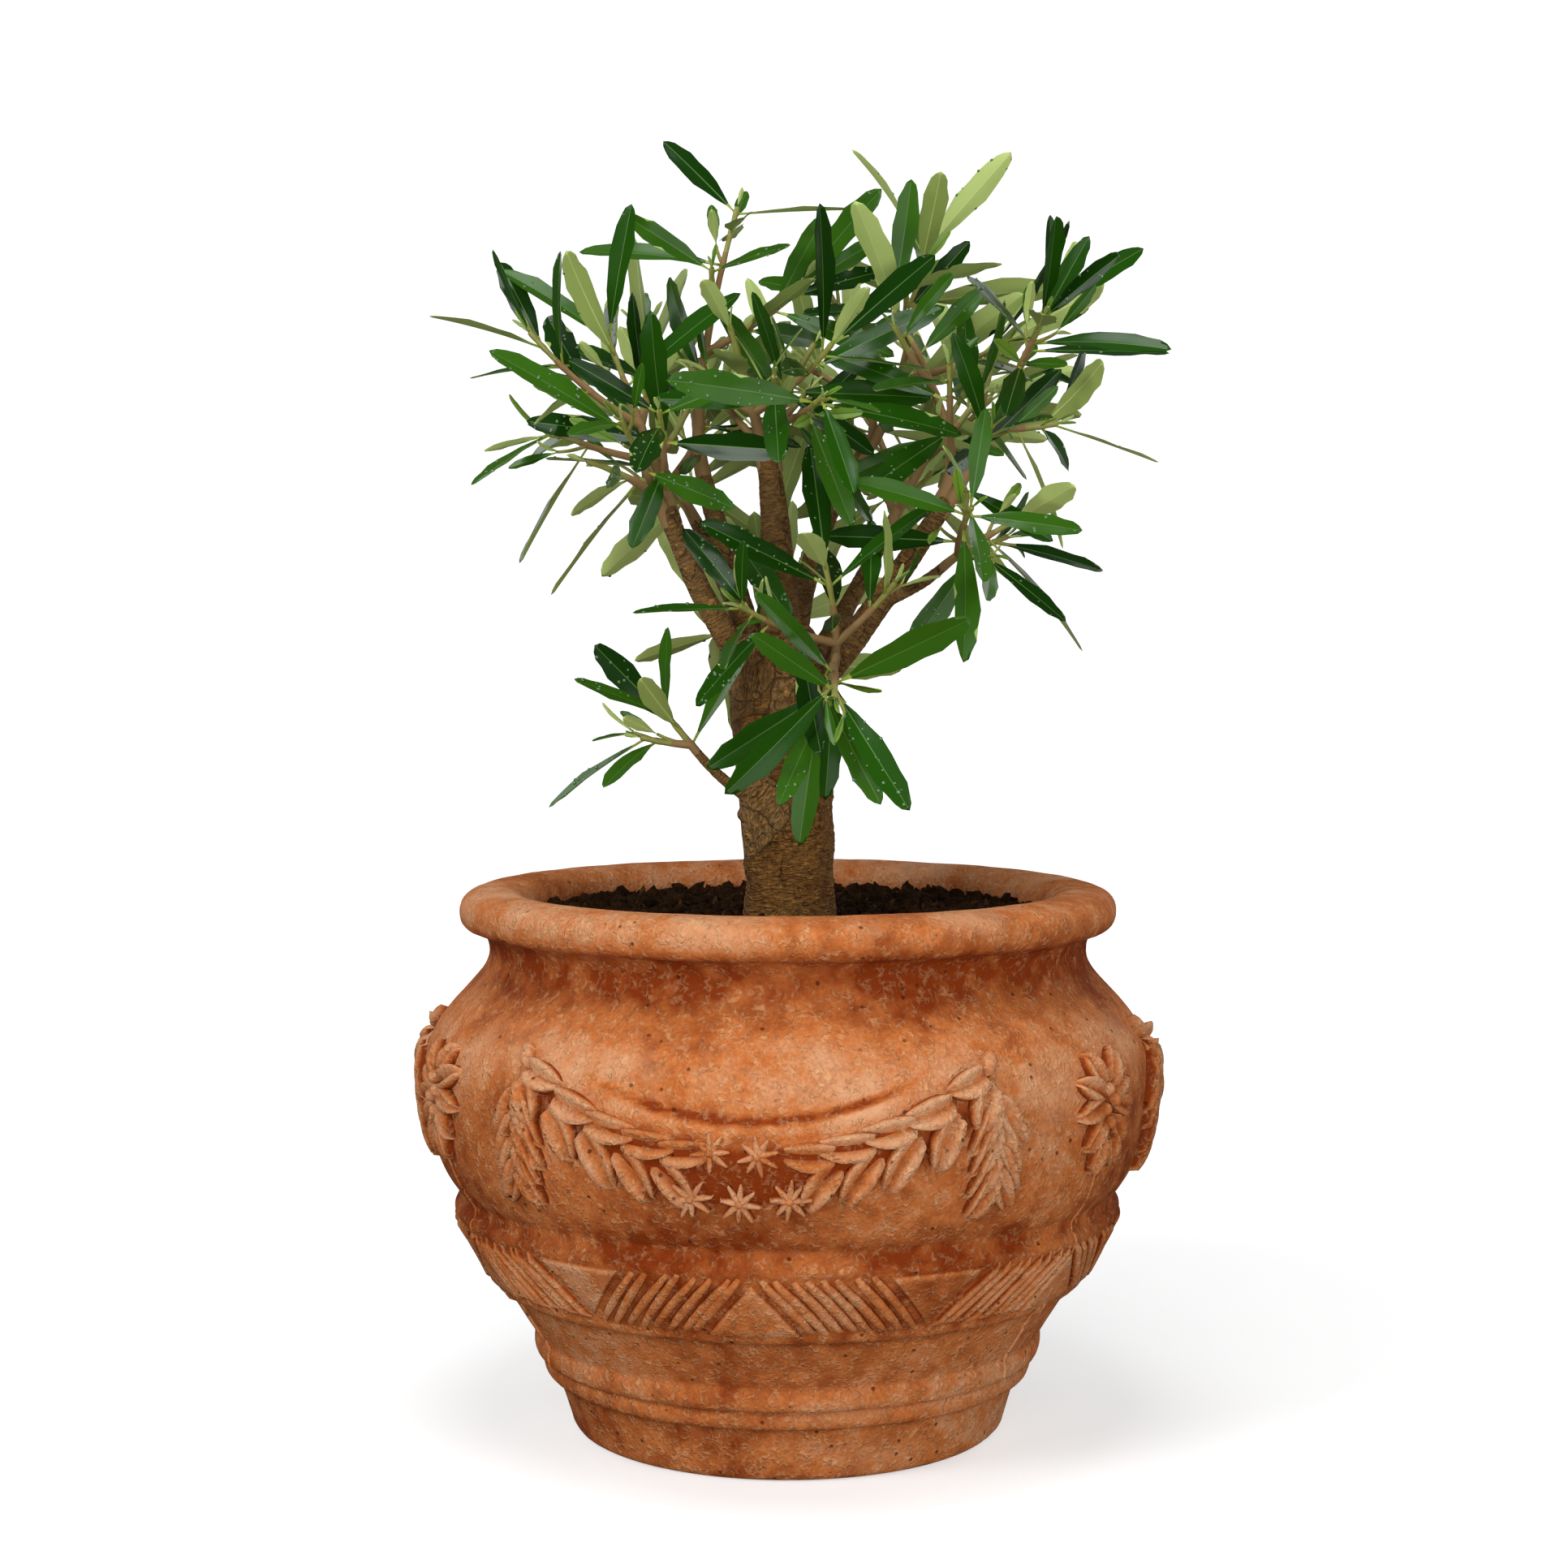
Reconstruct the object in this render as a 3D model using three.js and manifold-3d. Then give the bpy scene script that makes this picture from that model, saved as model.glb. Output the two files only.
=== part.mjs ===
// Olive bonsai in a round terracotta pot with a moulded lip and a banded, tapering foot.
// Millimetres, +Z up. The origin is the middle of the flat underside of the pot.
// The plant is seen from -Y, with +X to the right.
import * as THREE from "three";
import { mergeVertices } from "three/addons/utils/BufferGeometryUtils.js";
import Module from "manifold-3d";

const wasm = await Module();
wasm.setup();

// Driving dimensions

// Clearance between neighbouring pieces.
const GAP = 0.3;

// Pot: a radius and a height for each feature of its outline.
const POT = {
  height: 249,
  foot: { radius: 96, edge: 3, top: 25, topRadius: 106.5 },
  beads: [
    { bottom: 26, top: 35, radius: 112.5, proud: 3 },
    { bottom: 35, top: 45, radius: 117, proud: 3 },
  ],
  band: { bottom: 71, top: 104, lowRadius: 136, highRadius: 153, ledge: 5 },
  groove: { height: 111, radius: 150.5 },
  belly: { height: 165, radius: 166.5, fullness: 20, shoulder: 197 },
  neck: { height: 221, radius: 137, bend: 205 },
  lip: { height: 239, radius: 150.5, round: 6, under: 230, crown: 134, mouth: 119, throat: 230 },
  wall: 14,
  floor: 16,
  segments: 36,
  curveSteps: 3,
};

// Ornament on the pot: its middle, in degrees to the right of the front, and its repeats round the pot.
// Its leaves are low roofs and its bosses low pyramids, and the edges of both are sunk in the wall. A roof's
// ridge starts and ends at a share of the leaf from its root and its tip.
const ORNAMENT = { middle: -5.8, repeats: 3, sink: 1.6, lift: 5, ridge: 0.25, bossSides: 4 };

// Garland: half its width in degrees, the height of its middle and its rise to the ends. The leaves of each
// half start at shares of that width, and lie above or below the garland's own line by an angle.
const SWAG = {
  reach: 36.7,
  low: 149,
  rise: 33,
  shares: [0.98, 0.825, 0.67, 0.515, 0.36],
  tilts: [-18, 37],
  leaf: { length: 30, half: 7 },
};

// Flowers in the middle of the garland: an angle from the middle and a height for each.
const FLOWERS = { places: [[-5, 157], [1.6, 156], [-8, 138], [-1, 136.5], [6, 138]], radius: 7 };

// Leaves that hang from the ends of the garland, in rows that drop from it.
const HANGING = { drops: [5, 22], open: 20, leaf: { length: 31, half: 6 } };

// Bunch of leaves and fruit between two garlands: the way that each leaf points and the height of its root.
const BUNCH = {
  leaves: [[58, 170], [0, 167], [-62, 161]],
  leaf: { length: 22, half: 6 },
  fruit: { height: 165, radius: 6 },
};

// Soil: level round the trunk, and how far it rises to the wall of the pot.
const SOIL = { level: 235, rise: 3.5, flat: 40 };

// Lumps of soil: the ring that they lie in, and the radius, height and depth of each.
const LUMPS = { count: 12, inner: 40, outer: 104, radius: [6, 10], height: 3, depth: 2, sides: 4, seed: 21 };

// Trunk: its axis rises upright from the cut at ground level and leans left to the fork.
const TRUNK = {
  foot: [1, 0, SOIL.level + GAP],
  waist: [1, 0, 300],
  top: [-8, 0, 366],
  radius: 20.2,
  forkRadius: 22.6,
  flare: 2,
  sides: 14,
  steps: 9,
};

// Boughs: the axis of each runs from its foot, inside the trunk or a bough, past its knee to its tip.
const BOUGHS = [
  { name: "centre", foot: [-4, -3, 340], knee: [-2, -6, 395], tip: [-9, -10, 446], radius: [11, 5] },
  { name: "left", foot: [-8, 0, 338], knee: [-36, -4, 366], tip: [-55, -8, 422], radius: [7.2, 4.4] },
  { name: "right", foot: [4, -2, 334], knee: [34, -8, 362], tip: [72, -16, 426], radius: [8.2, 4.4] },
  { name: "top_left", foot: [-10, 6, 340], knee: [-28, 12, 395], tip: [-39, 16, 438], radius: [7.2, 4] },
  { name: "inner", foot: [2, 7, 344], knee: [6, 26, 408], tip: [38, 34, 452], radius: [6, 3.6] },
  { name: "back_left", foot: [-9, 5, 336], knee: [-20, 36, 372], tip: [-44, 60, 418], radius: [6, 3.4] },
  { name: "back_right", foot: [0, 6, 334], knee: [24, 36, 366], tip: [48, 60, 414], radius: [6, 3.4] },
  { name: "right_low", foot: [42, -10, 379], knee: [58, -18, 384], tip: [70, -26, 395], radius: [3.2, 2.4] },
  { name: "front", foot: [8, -8, 336], knee: [18, -32, 340], tip: [21, -42, 354], radius: [4, 2.8] },
  { name: "low_left", foot: [-8, -2, 284], knee: [-28, -8, 294], tip: [-42, -15, 312], radius: [3.4, 2.2] },
  { name: "back_low", foot: [-3, 8, 306], knee: [-6, 34, 316], tip: [-10, 52, 334], radius: [3.6, 2.4] },
];

const BOUGH_SIDES = 7;
const BOUGH_STEPS = 5;

// Sprays of foliage: the bough that each grows on, the tip of its stem, how many side twigs it puts out,
// how far its end pair of leaves opens, in degrees, and the seed of its rule.
// Where a mark is given, the first side twig ends there.
const SPRAYS = [
  {
    name: "left_spray",
    bough: "left",
    tip: [-82, -12, 500],
    mark: [-116, -18, 500],
    twigs: 6,
    open: 32,
    seed: 830,
  },
  { name: "left_low_spray", bough: "left", tip: [-90, -24, 442], twigs: 2, open: 56, seed: 538 },
  { name: "top_left_spray", bough: "top_left", tip: [-23, 12, 560], twigs: 4, open: 62, seed: 1070 },
  { name: "centre_left_spray", bough: "centre", tip: [-26, -28, 502], twigs: 3, open: 40, seed: 1055 },
  { name: "centre_spray", bough: "centre", tip: [12, -28, 494], twigs: 3, open: 40, seed: 90 },
  { name: "inner_spray", bough: "inner", tip: [64, 44, 546], twigs: 4, open: 36, seed: 1055 },
  { name: "right_spray", bough: "right", tip: [119, -20, 515], twigs: 5, open: 34, seed: 1165 },
  { name: "right_inner_spray", bough: "right", tip: [46, -2, 516], twigs: 3, open: 42, seed: 608 },
  { name: "right_low_spray", bough: "right_low", tip: [110, -34, 420], twigs: 3, open: 36, seed: 752 },
  { name: "front_spray", bough: "front", tip: [16, -60, 396], twigs: 2, open: 42, seed: 618 },
  { name: "front_low_spray", bough: "front", tip: [12, -68, 326], twigs: 1, open: 24, seed: 1175 },
  { name: "low_left_spray", bough: "low_left", tip: [-56, -22, 330], twigs: 1, open: 30, seed: 48 },
  { name: "back_left_spray", bough: "back_left", tip: [-90, 90, 486], twigs: 5, open: 36, seed: 26 },
  { name: "back_right_spray", bough: "back_right", tip: [88, 94, 484], twigs: 5, open: 36, seed: 1352 },
  { name: "back_low_spray", bough: "back_low", tip: [-6, 98, 376], twigs: 3, open: 40, seed: 897 },
  { name: "back_spray", bough: "inner", tip: [-4, 98, 500], twigs: 4, open: 40, seed: 166 },
];

// Leaf: its usual length, its breadth and thickness as shares of the length, where it is widest, the height
// of its stalk's root, how much of its length the youngest pair has, and the ranges of length and droop.
const LEAF = {
  length: 54,
  breadth: 0.24,
  thickness: 0.02,
  widest: 0.58,
  stalk: 1,
  youngest: 0.88,
  lengths: [0.82, 1.32],
  droops: [0.02, 0.15],
};

// How a leaf stands, in degrees: how much further each older pair opens, up to the widest, the ranges of
// opening and of twist, and how much an older pair hangs.
const STANCE = { older: 12, widest: 80, range: 20, twist: 60, hang: 0.06 };

// What a leaf's face turns to: along its twig, away from its own side, and to the light outside the crown.
const FACING = { along: 0.6, side: -0.3, light: [0.6, 2], outward: 0.9, upward: 0.45 };

// Stem of a spray: its radii, its largest share of the bough's tip alone and beside another stem, how far
// off the middle of the tip it then stands, where it bends, and its bare share.
const STEM = { radius: 2.4, tipRadius: 1.5, alone: 0.8, paired: 0.42, aside: 0.5, knee: 0.28, bare: 0.1 };

// Side twig: its radii, the ranges of its length, its angle off the stem and the opening of its end pair,
// how far round the stem it may turn, its rise, the sag of one that ends at a mark, and its bare share.
const TWIG = {
  radius: 1.8,
  tipRadius: 1.4,
  lengths: [20, 56],
  angles: [40, 70],
  opens: [14, 58],
  turn: 50,
  rise: 0.4,
  sag: 0.12,
  bare: 0.3,
};

// Leaf pairs, from the tip of a twig back: the first place and space, and how each space widens. Each pair
// stands square to the next, within a small turn.
const PAIRS = { bud: 2, firstSpace: 6, widenBy: 5, widestSpace: 18, turn: 24 };

// Clearances that decide which leaves and twigs are skipped.
const CLEAR = { leaf: 2, twig: 2.4, own: 2.6 };

// The box that the crown keeps to.
const CROWN = new THREE.Box3(new THREE.Vector3(-173, -128, 264), new THREE.Vector3(173, 165, 599));

// The crown's core lies behind the trunk: leaves before it face forwards, and those behind it back. A leaf's
// distance to the left or right counts for less.
const CORE = { depth: 30, width: 0.4 };

// Tools for vectors, curves and solids

const UP = new THREE.Vector3(0, 0, 1);
const GOLDEN_ANGLE = Math.PI * (3 - Math.sqrt(5));
const radians = THREE.MathUtils.degToRad;

function between(range, random) {
  return THREE.MathUtils.lerp(range[0], range[1], random());
}

// An angle within half the given degrees to either side.
function wobble(degrees, random) {
  return radians(degrees) * (random() - 0.5);
}

function point(values) {
  return new THREE.Vector3(...values);
}

function bow(from, knee, to) {
  return new THREE.QuadraticBezierCurve3(from, knee, to);
}

// A row of random numbers from 0 to 1 that is the same for the same seed.
function seeded(seed) {
  let state = seed >>> 0;
  return () => {
    state = (state + 0x6d2b79f5) >>> 0;
    let mixed = Math.imul(state ^ (state >>> 15), state | 1);
    mixed = (mixed + Math.imul(mixed ^ (mixed >>> 7), mixed | 61)) ^ mixed;
    return ((mixed ^ (mixed >>> 14)) >>> 0) / 4294967296;
  };
}

// The level direction that a limb's cross-section is measured from: the one its chord runs along least.
function levelAxis(curve) {
  const chord = curve.v2.clone().sub(curve.v0);
  return Math.abs(chord.x) > Math.abs(chord.y) ? new THREE.Vector3(0, 1, 0) : new THREE.Vector3(1, 0, 0);
}

// A direction square to the heading, turned about it by the given angle.
function sideways(heading, level, turn) {
  const across = new THREE.Vector3().crossVectors(heading, level).normalize();
  return across.applyAxisAngle(heading, turn);
}

// A closed limb round a curve: a cylinder whose rings follow the curve, with a radius for each share of it.
function limb(curve, radiusAt, sides, steps) {
  const shape = new THREE.CylinderGeometry(1, 1, 1, sides, steps);
  const place = shape.attributes.position;
  const level = levelAxis(curve);
  for (let i = 0; i < place.count; i++) {
    const share = place.getY(i) + 0.5;
    const heading = curve.getTangent(share);
    const across = sideways(heading, level, 0);
    const out = new THREE.Vector3().crossVectors(across, heading);
    const radius = radiusAt(share);
    const at = curve.getPoint(share);
    at.addScaledVector(across, radius * place.getX(i));
    at.addScaledVector(out, radius * place.getZ(i));
    place.setXYZ(i, at.x, at.y, at.z);
  }
  return shape;
}

function taper(from, to) {
  return (share) => THREE.MathUtils.lerp(from, to, share);
}

// A geometry as a solid that can be joined and cut.
function solid(geometry) {
  const bare = geometry.clone();
  bare.deleteAttribute("normal");
  bare.deleteAttribute("uv");
  const merged = mergeVertices(bare, 1e-4);
  return new wasm.Manifold(
    new wasm.Mesh({
      numProp: 3,
      vertProperties: new Float32Array(merged.attributes.position.array),
      triVerts: new Uint32Array(merged.index.array),
    })
  );
}

// The largest piece of a solid: loose scraps are dropped and closed hollows are filled.
function whole(shape) {
  const pieces = shape.decompose();
  pieces.sort((a, b) => b.volume() - a.volume());
  return pieces[0];
}

function geometryOf(shape) {
  const mesh = shape.getMesh();
  const geometry = new THREE.BufferGeometry();
  geometry.setAttribute("position", new THREE.BufferAttribute(new Float32Array(mesh.vertProperties), 3));
  geometry.setIndex(new THREE.BufferAttribute(new Uint32Array(mesh.triVerts), 1));
  geometry.computeVertexNormals();
  return geometry;
}

function piece(name, geometry, material) {
  const mesh = new THREE.Mesh(geometry, material);
  mesh.name = name;
  return mesh;
}

// Pot and soil

// Outer outline of the pot, from the middle of its underside up to the crown of its lip.
function drawOutside(path) {
  const { foot, beads, band, groove, belly, neck, lip } = POT;
  path.moveTo(0, 0);
  path.lineTo(foot.radius, 0);
  path.lineTo(foot.radius + foot.edge, foot.edge);
  path.lineTo(foot.topRadius, foot.top);
  for (const bead of beads) {
    path.lineTo(bead.radius - bead.proud, bead.bottom);
    path.lineTo(bead.radius, (bead.bottom + bead.top) / 2);
    path.lineTo(bead.radius, bead.top - 1);
  }
  path.lineTo(band.lowRadius - band.ledge, band.bottom - 2);
  path.lineTo(band.lowRadius, band.bottom + 2);
  path.lineTo(band.highRadius, band.top);
  path.lineTo(groove.radius, groove.height);
  path.quadraticCurveTo(belly.radius, groove.height + belly.fullness, belly.radius, belly.height);
  path.bezierCurveTo(belly.radius, belly.shoulder, neck.radius, neck.bend, neck.radius, neck.height);
  path.quadraticCurveTo(neck.radius, lip.under, lip.radius - lip.round, lip.under + 1);
  path.quadraticCurveTo(lip.radius, lip.under + 2, lip.radius, lip.height);
  path.quadraticCurveTo(lip.radius, POT.height, lip.crown, POT.height);
}

// Inner outline of the pot, from the given height in its mouth down to its floor, moved in by the inset.
function drawInside(path, from, inset) {
  const { foot, groove, belly, neck, lip, wall, floor } = POT;
  path.lineTo(lip.mouth - inset, from);
  path.lineTo(lip.mouth - inset, lip.throat);
  path.lineTo(neck.radius - wall - inset, neck.height - wall);
  path.lineTo(belly.radius - wall - inset, belly.height);
  path.lineTo(groove.radius - wall - inset, groove.height);
  path.lineTo(foot.topRadius - wall - inset, foot.top + floor);
  path.lineTo(foot.radius - wall - inset, floor + inset);
  path.lineTo(0, floor + inset);
}

// A body turned about the upright axis from an outline that runs anticlockwise.
function turned(outline, segments) {
  const shape = new THREE.LatheGeometry(outline, segments);
  shape.rotateX(Math.PI / 2);
  return solid(shape);
}

// Radius of the pot's outer wall at a height.
function wallRadius(height) {
  const path = new THREE.Path();
  drawOutside(path);
  const line = path.getPoints(POT.curveSteps);
  const next = line.findIndex((at) => at.y > height);
  const [low, high] = [line[next - 1], line[next]];
  return THREE.MathUtils.mapLinear(height, low.y, high.y, low.x, high.x);
}

// A point on the wall: so far from a place in the way that something points, to the left of it and out.
function wallPoint(place, pointing, along, aside, out) {
  const turn = radians(pointing);
  const height = place.height + along * Math.sin(turn) + aside * Math.cos(turn);
  const right = along * Math.cos(turn) - aside * Math.sin(turn);
  const radius = wallRadius(height);
  const angle = radians(place.angle) + right / radius;
  return new THREE.Vector3((radius + out) * Math.sin(angle), -(radius + out) * Math.cos(angle), height);
}

// A leaf on the wall: its root, right side, tip and left side lie in the wall, and its ridge stands out.
function mouldedLeaf(place, pointing, leaf) {
  const { sink, lift, ridge } = ORNAMENT;
  const corners = [
    [0, 0, -sink],
    [0.5, -1, -sink],
    [1, 0, -sink],
    [0.5, 1, -sink],
    [ridge, 0, lift],
    [1 - ridge, 0, lift],
  ];
  const [root, right, tip, left, near, far] = corners.keys();
  const under = [root, left, tip, root, tip, right];
  const rightSide = [root, right, near, right, far, near, right, tip, far];
  const leftSide = [tip, left, far, left, near, far, left, root, near];
  const shape = new THREE.BufferGeometry();
  const { length, half } = leaf;
  shape.setFromPoints(
    corners.map(([share, aside, out]) => wallPoint(place, pointing, share * length, aside * half, out))
  );
  shape.setIndex([...under, ...rightSide, ...leftSide]);
  return solid(shape);
}

// A boss on the wall: a low pyramid.
function mouldedBoss(place, radius) {
  const { sink, lift, bossSides } = ORNAMENT;
  const shape = new THREE.ConeGeometry(radius, 1, bossSides);
  const points = shape.attributes.position;
  for (let i = 0; i < points.count; i++) {
    const out = points.getY(i) > 0 ? lift : -sink;
    const at = wallPoint(place, 0, points.getX(i), -points.getZ(i), out);
    points.setXYZ(i, at.x, at.y, at.z);
  }
  return solid(shape);
}

// A garland: overlapping leaves that point to its middle, flowers there, and leaves that hang from its ends.
function garland(middle) {
  const run = radians(SWAG.reach) * POT.belly.radius;
  const top = SWAG.low + SWAG.rise;
  const parts = [];
  for (const [offset, height] of FLOWERS.places) {
    parts.push(mouldedBoss({ angle: middle + offset, height }, FLOWERS.radius));
  }
  for (const hand of [-1, 1]) {
    const end = middle + hand * SWAG.reach;
    for (const share of SWAG.shares) {
      const fall = THREE.MathUtils.radToDeg(Math.atan2(2 * SWAG.rise * share, run));
      const place = { angle: middle + hand * share * SWAG.reach, height: SWAG.low + SWAG.rise * share ** 2 };
      for (const tilt of SWAG.tilts) {
        parts.push(mouldedLeaf(place, hand > 0 ? 180 + fall + tilt : -fall - tilt, SWAG.leaf));
      }
    }
    for (const drop of HANGING.drops) {
      for (const side of [-1, 1]) {
        parts.push(mouldedLeaf({ angle: end, height: top - drop }, 270 + side * HANGING.open, HANGING.leaf));
      }
    }
  }
  return parts;
}

// A bunch of leaves to either side, with fruit in their midst.
function bunch(angle) {
  const parts = [mouldedBoss({ angle, height: BUNCH.fruit.height }, BUNCH.fruit.radius)];
  for (const [pointing, height] of BUNCH.leaves) {
    parts.push(mouldedLeaf({ angle, height }, pointing, BUNCH.leaf));
    parts.push(mouldedLeaf({ angle, height }, 180 - pointing, BUNCH.leaf));
  }
  return parts;
}

function ornament() {
  const third = 360 / ORNAMENT.repeats;
  const parts = [];
  for (let k = 0; k < ORNAMENT.repeats; k++) {
    const middle = ORNAMENT.middle + k * third;
    parts.push(...garland(middle), ...bunch(middle + third / 2));
  }
  return wasm.Manifold.union(parts);
}

function makePot() {
  const { lip, segments } = POT;
  const path = new THREE.Path();
  drawOutside(path);
  path.quadraticCurveTo(lip.mouth, POT.height, lip.mouth, lip.height);
  drawInside(path, lip.height - 2, 0);
  return geometryOf(turned(path.getPoints(POT.curveSteps), segments).add(ornament()));
}

// Lumps of soil, set round the trunk by the golden angle.
function lumps() {
  const random = seeded(LUMPS.seed);
  const parts = [];
  for (let k = 0; k < LUMPS.count; k++) {
    const share = (k + 0.5) / LUMPS.count;
    const away = Math.sqrt(THREE.MathUtils.lerp(LUMPS.inner ** 2, LUMPS.outer ** 2, share));
    const turn = k * GOLDEN_ANGLE;
    const ground = THREE.MathUtils.mapLinear(away, SOIL.flat, POT.lip.mouth - GAP, 0, SOIL.rise);
    const radius = between(LUMPS.radius, random);
    const shape = new THREE.ConeGeometry(radius, LUMPS.height + LUMPS.depth, LUMPS.sides);
    shape.rotateX(Math.PI / 2);
    shape.rotateZ(turn);
    const middle = SOIL.level + Math.max(ground, 0) + (LUMPS.height - LUMPS.depth) / 2;
    shape.translate(away * Math.sin(turn), -away * Math.cos(turn), middle);
    parts.push(solid(shape));
  }
  return wasm.Manifold.union(parts);
}

// The soil fills the pot, with half as many facets, so that it stays inside the wall.
function makeSoil() {
  const edge = SOIL.level + SOIL.rise;
  const path = new THREE.Path();
  path.moveTo(0, SOIL.level);
  path.lineTo(SOIL.flat, SOIL.level);
  drawInside(path, edge, GAP);
  return geometryOf(turned(path.getPoints().reverse(), POT.segments / 2).add(lumps()));
}

// Trunk and boughs

const trunkAxis = bow(point(TRUNK.foot), point(TRUNK.waist), point(TRUNK.top));

// The trunk flares at the ground, swells below the fork and closes in a low dome.
function trunkRadius(share) {
  const { radius, forkRadius, flare } = TRUNK;
  const column = THREE.MathUtils.lerp(radius, forkRadius, THREE.MathUtils.smoothstep(share, 0.1, 0.6));
  const dome = Math.sqrt(1 - THREE.MathUtils.smoothstep(share, 0.85, 1.12) ** 2);
  return (column + flare * Math.exp(-14 * share)) * dome;
}

function trunkSolid(margin) {
  return solid(limb(trunkAxis, (share) => trunkRadius(share) + margin, TRUNK.sides, TRUNK.steps));
}

function boughAxis(bough) {
  return bow(point(bough.foot), point(bough.knee), point(bough.tip));
}

function boughSolid(bough, margin) {
  const radiusAt = taper(bough.radius[0] + margin, bough.radius[1] + margin);
  return solid(limb(boughAxis(bough), radiusAt, BOUGH_SIDES, BOUGH_STEPS));
}

// Each bough is cut clear of the trunk and of the boughs before it.
function makeBoughs() {
  const made = new Map();
  const cutters = [trunkSolid(GAP)];
  for (const bough of BOUGHS) {
    let shape = boughSolid(bough, 0);
    for (const cutter of cutters) {
      shape = shape.subtract(cutter);
    }
    made.set(bough.name, geometryOf(whole(shape)));
    cutters.push(boughSolid(bough, GAP));
  }
  return made;
}

// Sprays of foliage

// What is already taken in the crown: points with a margin round each, sorted into cells.
class Room {
  constructor() {
    this.cell = 8;
    this.cells = new Map();
  }

  key(x, y, z) {
    return (x * 1000 + y) * 1000 + z;
  }

  index(value) {
    return Math.floor(value / this.cell) + 100;
  }

  take(at, margin, owner) {
    const key = this.key(this.index(at.x), this.index(at.y), this.index(at.z));
    if (!this.cells.has(key)) {
      this.cells.set(key, []);
    }
    this.cells.get(key).push({ at, margin, owner });
  }

  // True where a point keeps its distance from all that lies in one cell.
  apart(key, at, margin, owner, own) {
    for (const other of this.cells.get(key) ?? []) {
      const need = other.owner === owner ? own : margin + other.margin;
      if (other.at.distanceToSquared(at) < need * need) {
        return false;
      }
    }
    return true;
  }

  // True where a point is in the crown and clear of all that is taken, by its own spray too.
  free(at, margin, owner, own = CLEAR.own) {
    if (!CROWN.containsPoint(at)) {
      return false;
    }
    const [x, y, z] = [at.x, at.y, at.z].map((value) => this.index(value));
    for (let i = x - 1; i <= x + 1; i++) {
      for (let j = y - 1; j <= y + 1; j++) {
        for (let k = z - 1; k <= z + 1; k++) {
          if (!this.apart(this.key(i, j, k), at, margin, owner, own)) {
            return false;
          }
        }
      }
    }
    return true;
  }

  // Takes the surface of a limb, in rings of points.
  takeLimb(curve, radiusAt, owner) {
    const level = levelAxis(curve);
    const steps = Math.ceil(curve.getLength() / 3);
    for (let i = 0; i <= steps; i++) {
      const heading = curve.getTangent(i / steps);
      const radius = radiusAt(i / steps);
      const count = Math.ceil((2 * Math.PI * radius) / 4);
      for (let j = 0; j < count; j++) {
        const out = sideways(heading, level, (2 * Math.PI * j) / count);
        this.take(curve.getPoint(i / steps).addScaledVector(out, radius), CLEAR.leaf, owner);
      }
    }
  }
}

// The stem of a spray goes on from its bough's tip. Two stems on one tip stand side by side.
function stemOf(spray) {
  const bough = BOUGHS.find((each) => each.name === spray.bough);
  const axis = boughAxis(bough);
  const along = axis.getTangent(1);
  const end = axis.getPoint(1);
  const tip = point(spray.tip);
  const start = end.clone().addScaledVector(along, GAP);
  const tipRadius = bough.radius[1];
  const twin = SPRAYS.find((each) => each.bough === spray.bough && each.name !== spray.name);
  if (twin) {
    const aside = tip.clone().sub(point(twin.tip));
    aside.addScaledVector(along, -aside.dot(along)).normalize();
    start.addScaledVector(aside, tipRadius * STEM.aside);
  }
  const length = start.distanceTo(tip);
  const knee = start.clone().addScaledVector(along, length * STEM.knee);
  const radius = Math.min(STEM.radius, tipRadius * (twin ? STEM.paired : STEM.alone));
  return { curve: bow(start, knee, tip), length, radiusAt: taper(radius, STEM.tipRadius) };
}

// Places of the leaf pairs on a twig, from its tip back, closest together at the tip.
function pairsAlong(length, bare) {
  const places = [];
  let back = PAIRS.bud;
  let space = PAIRS.firstSpace;
  while (back < length * (1 - bare)) {
    places.push(1 - back / length);
    back += space;
    space = Math.min(space + PAIRS.widenBy, PAIRS.widestSpace);
  }
  return places;
}

// One leaf. Older leaves, of a higher rank, stand out more and hang more, and each turns to the light.
function leafAt(random, root, heading, side, rank, open) {
  const spread = radians(Math.min(open + STANCE.older * rank, STANCE.widest)) + wobble(STANCE.range, random);
  const way = heading.clone().multiplyScalar(Math.cos(spread));
  way.addScaledVector(side, Math.sin(spread)).addScaledVector(UP, -STANCE.hang * rank).normalize();
  const light = new THREE.Vector3(CORE.width * root.x, root.y - CORE.depth, 0);
  light.setLength(FACING.outward).setZ(FACING.upward);
  const face = heading.clone().multiplyScalar(FACING.along).addScaledVector(side, FACING.side);
  face.addScaledVector(light, between(FACING.light, random));
  face.addScaledVector(way, -face.dot(way)).normalize();
  face.applyAxisAngle(way, wobble(STANCE.twist, random));
  const grown = rank === 0 ? LEAF.youngest : 1;
  const length = LEAF.length * grown * between(LEAF.lengths, random);
  const droop = between(LEAF.droops, random);
  return { root, way, face, length, droop };
}

// Half-breadth of a leaf as a share of its largest: narrow at the stalk, widest past the middle.
function leafBreadth(share) {
  const blade = Math.max(share - 0.1, 0) / 0.9;
  return 0.08 + 2.64 * blade ** 0.9 * (1 - blade) ** 0.65;
}

// A point of a leaf: a share of its length, a share of its half-breadth, and a height over its face.
function leafPoint(leaf, share, aside, over) {
  const across = new THREE.Vector3().crossVectors(leaf.face, leaf.way);
  const half = leaf.length * LEAF.breadth * 0.5 * leafBreadth(share);
  const at = leaf.root.clone().addScaledVector(leaf.way, leaf.length * share);
  at.addScaledVector(leaf.face, over - leaf.droop * leaf.length * share ** 2);
  return at.addScaledVector(across, half * aside);
}

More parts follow.
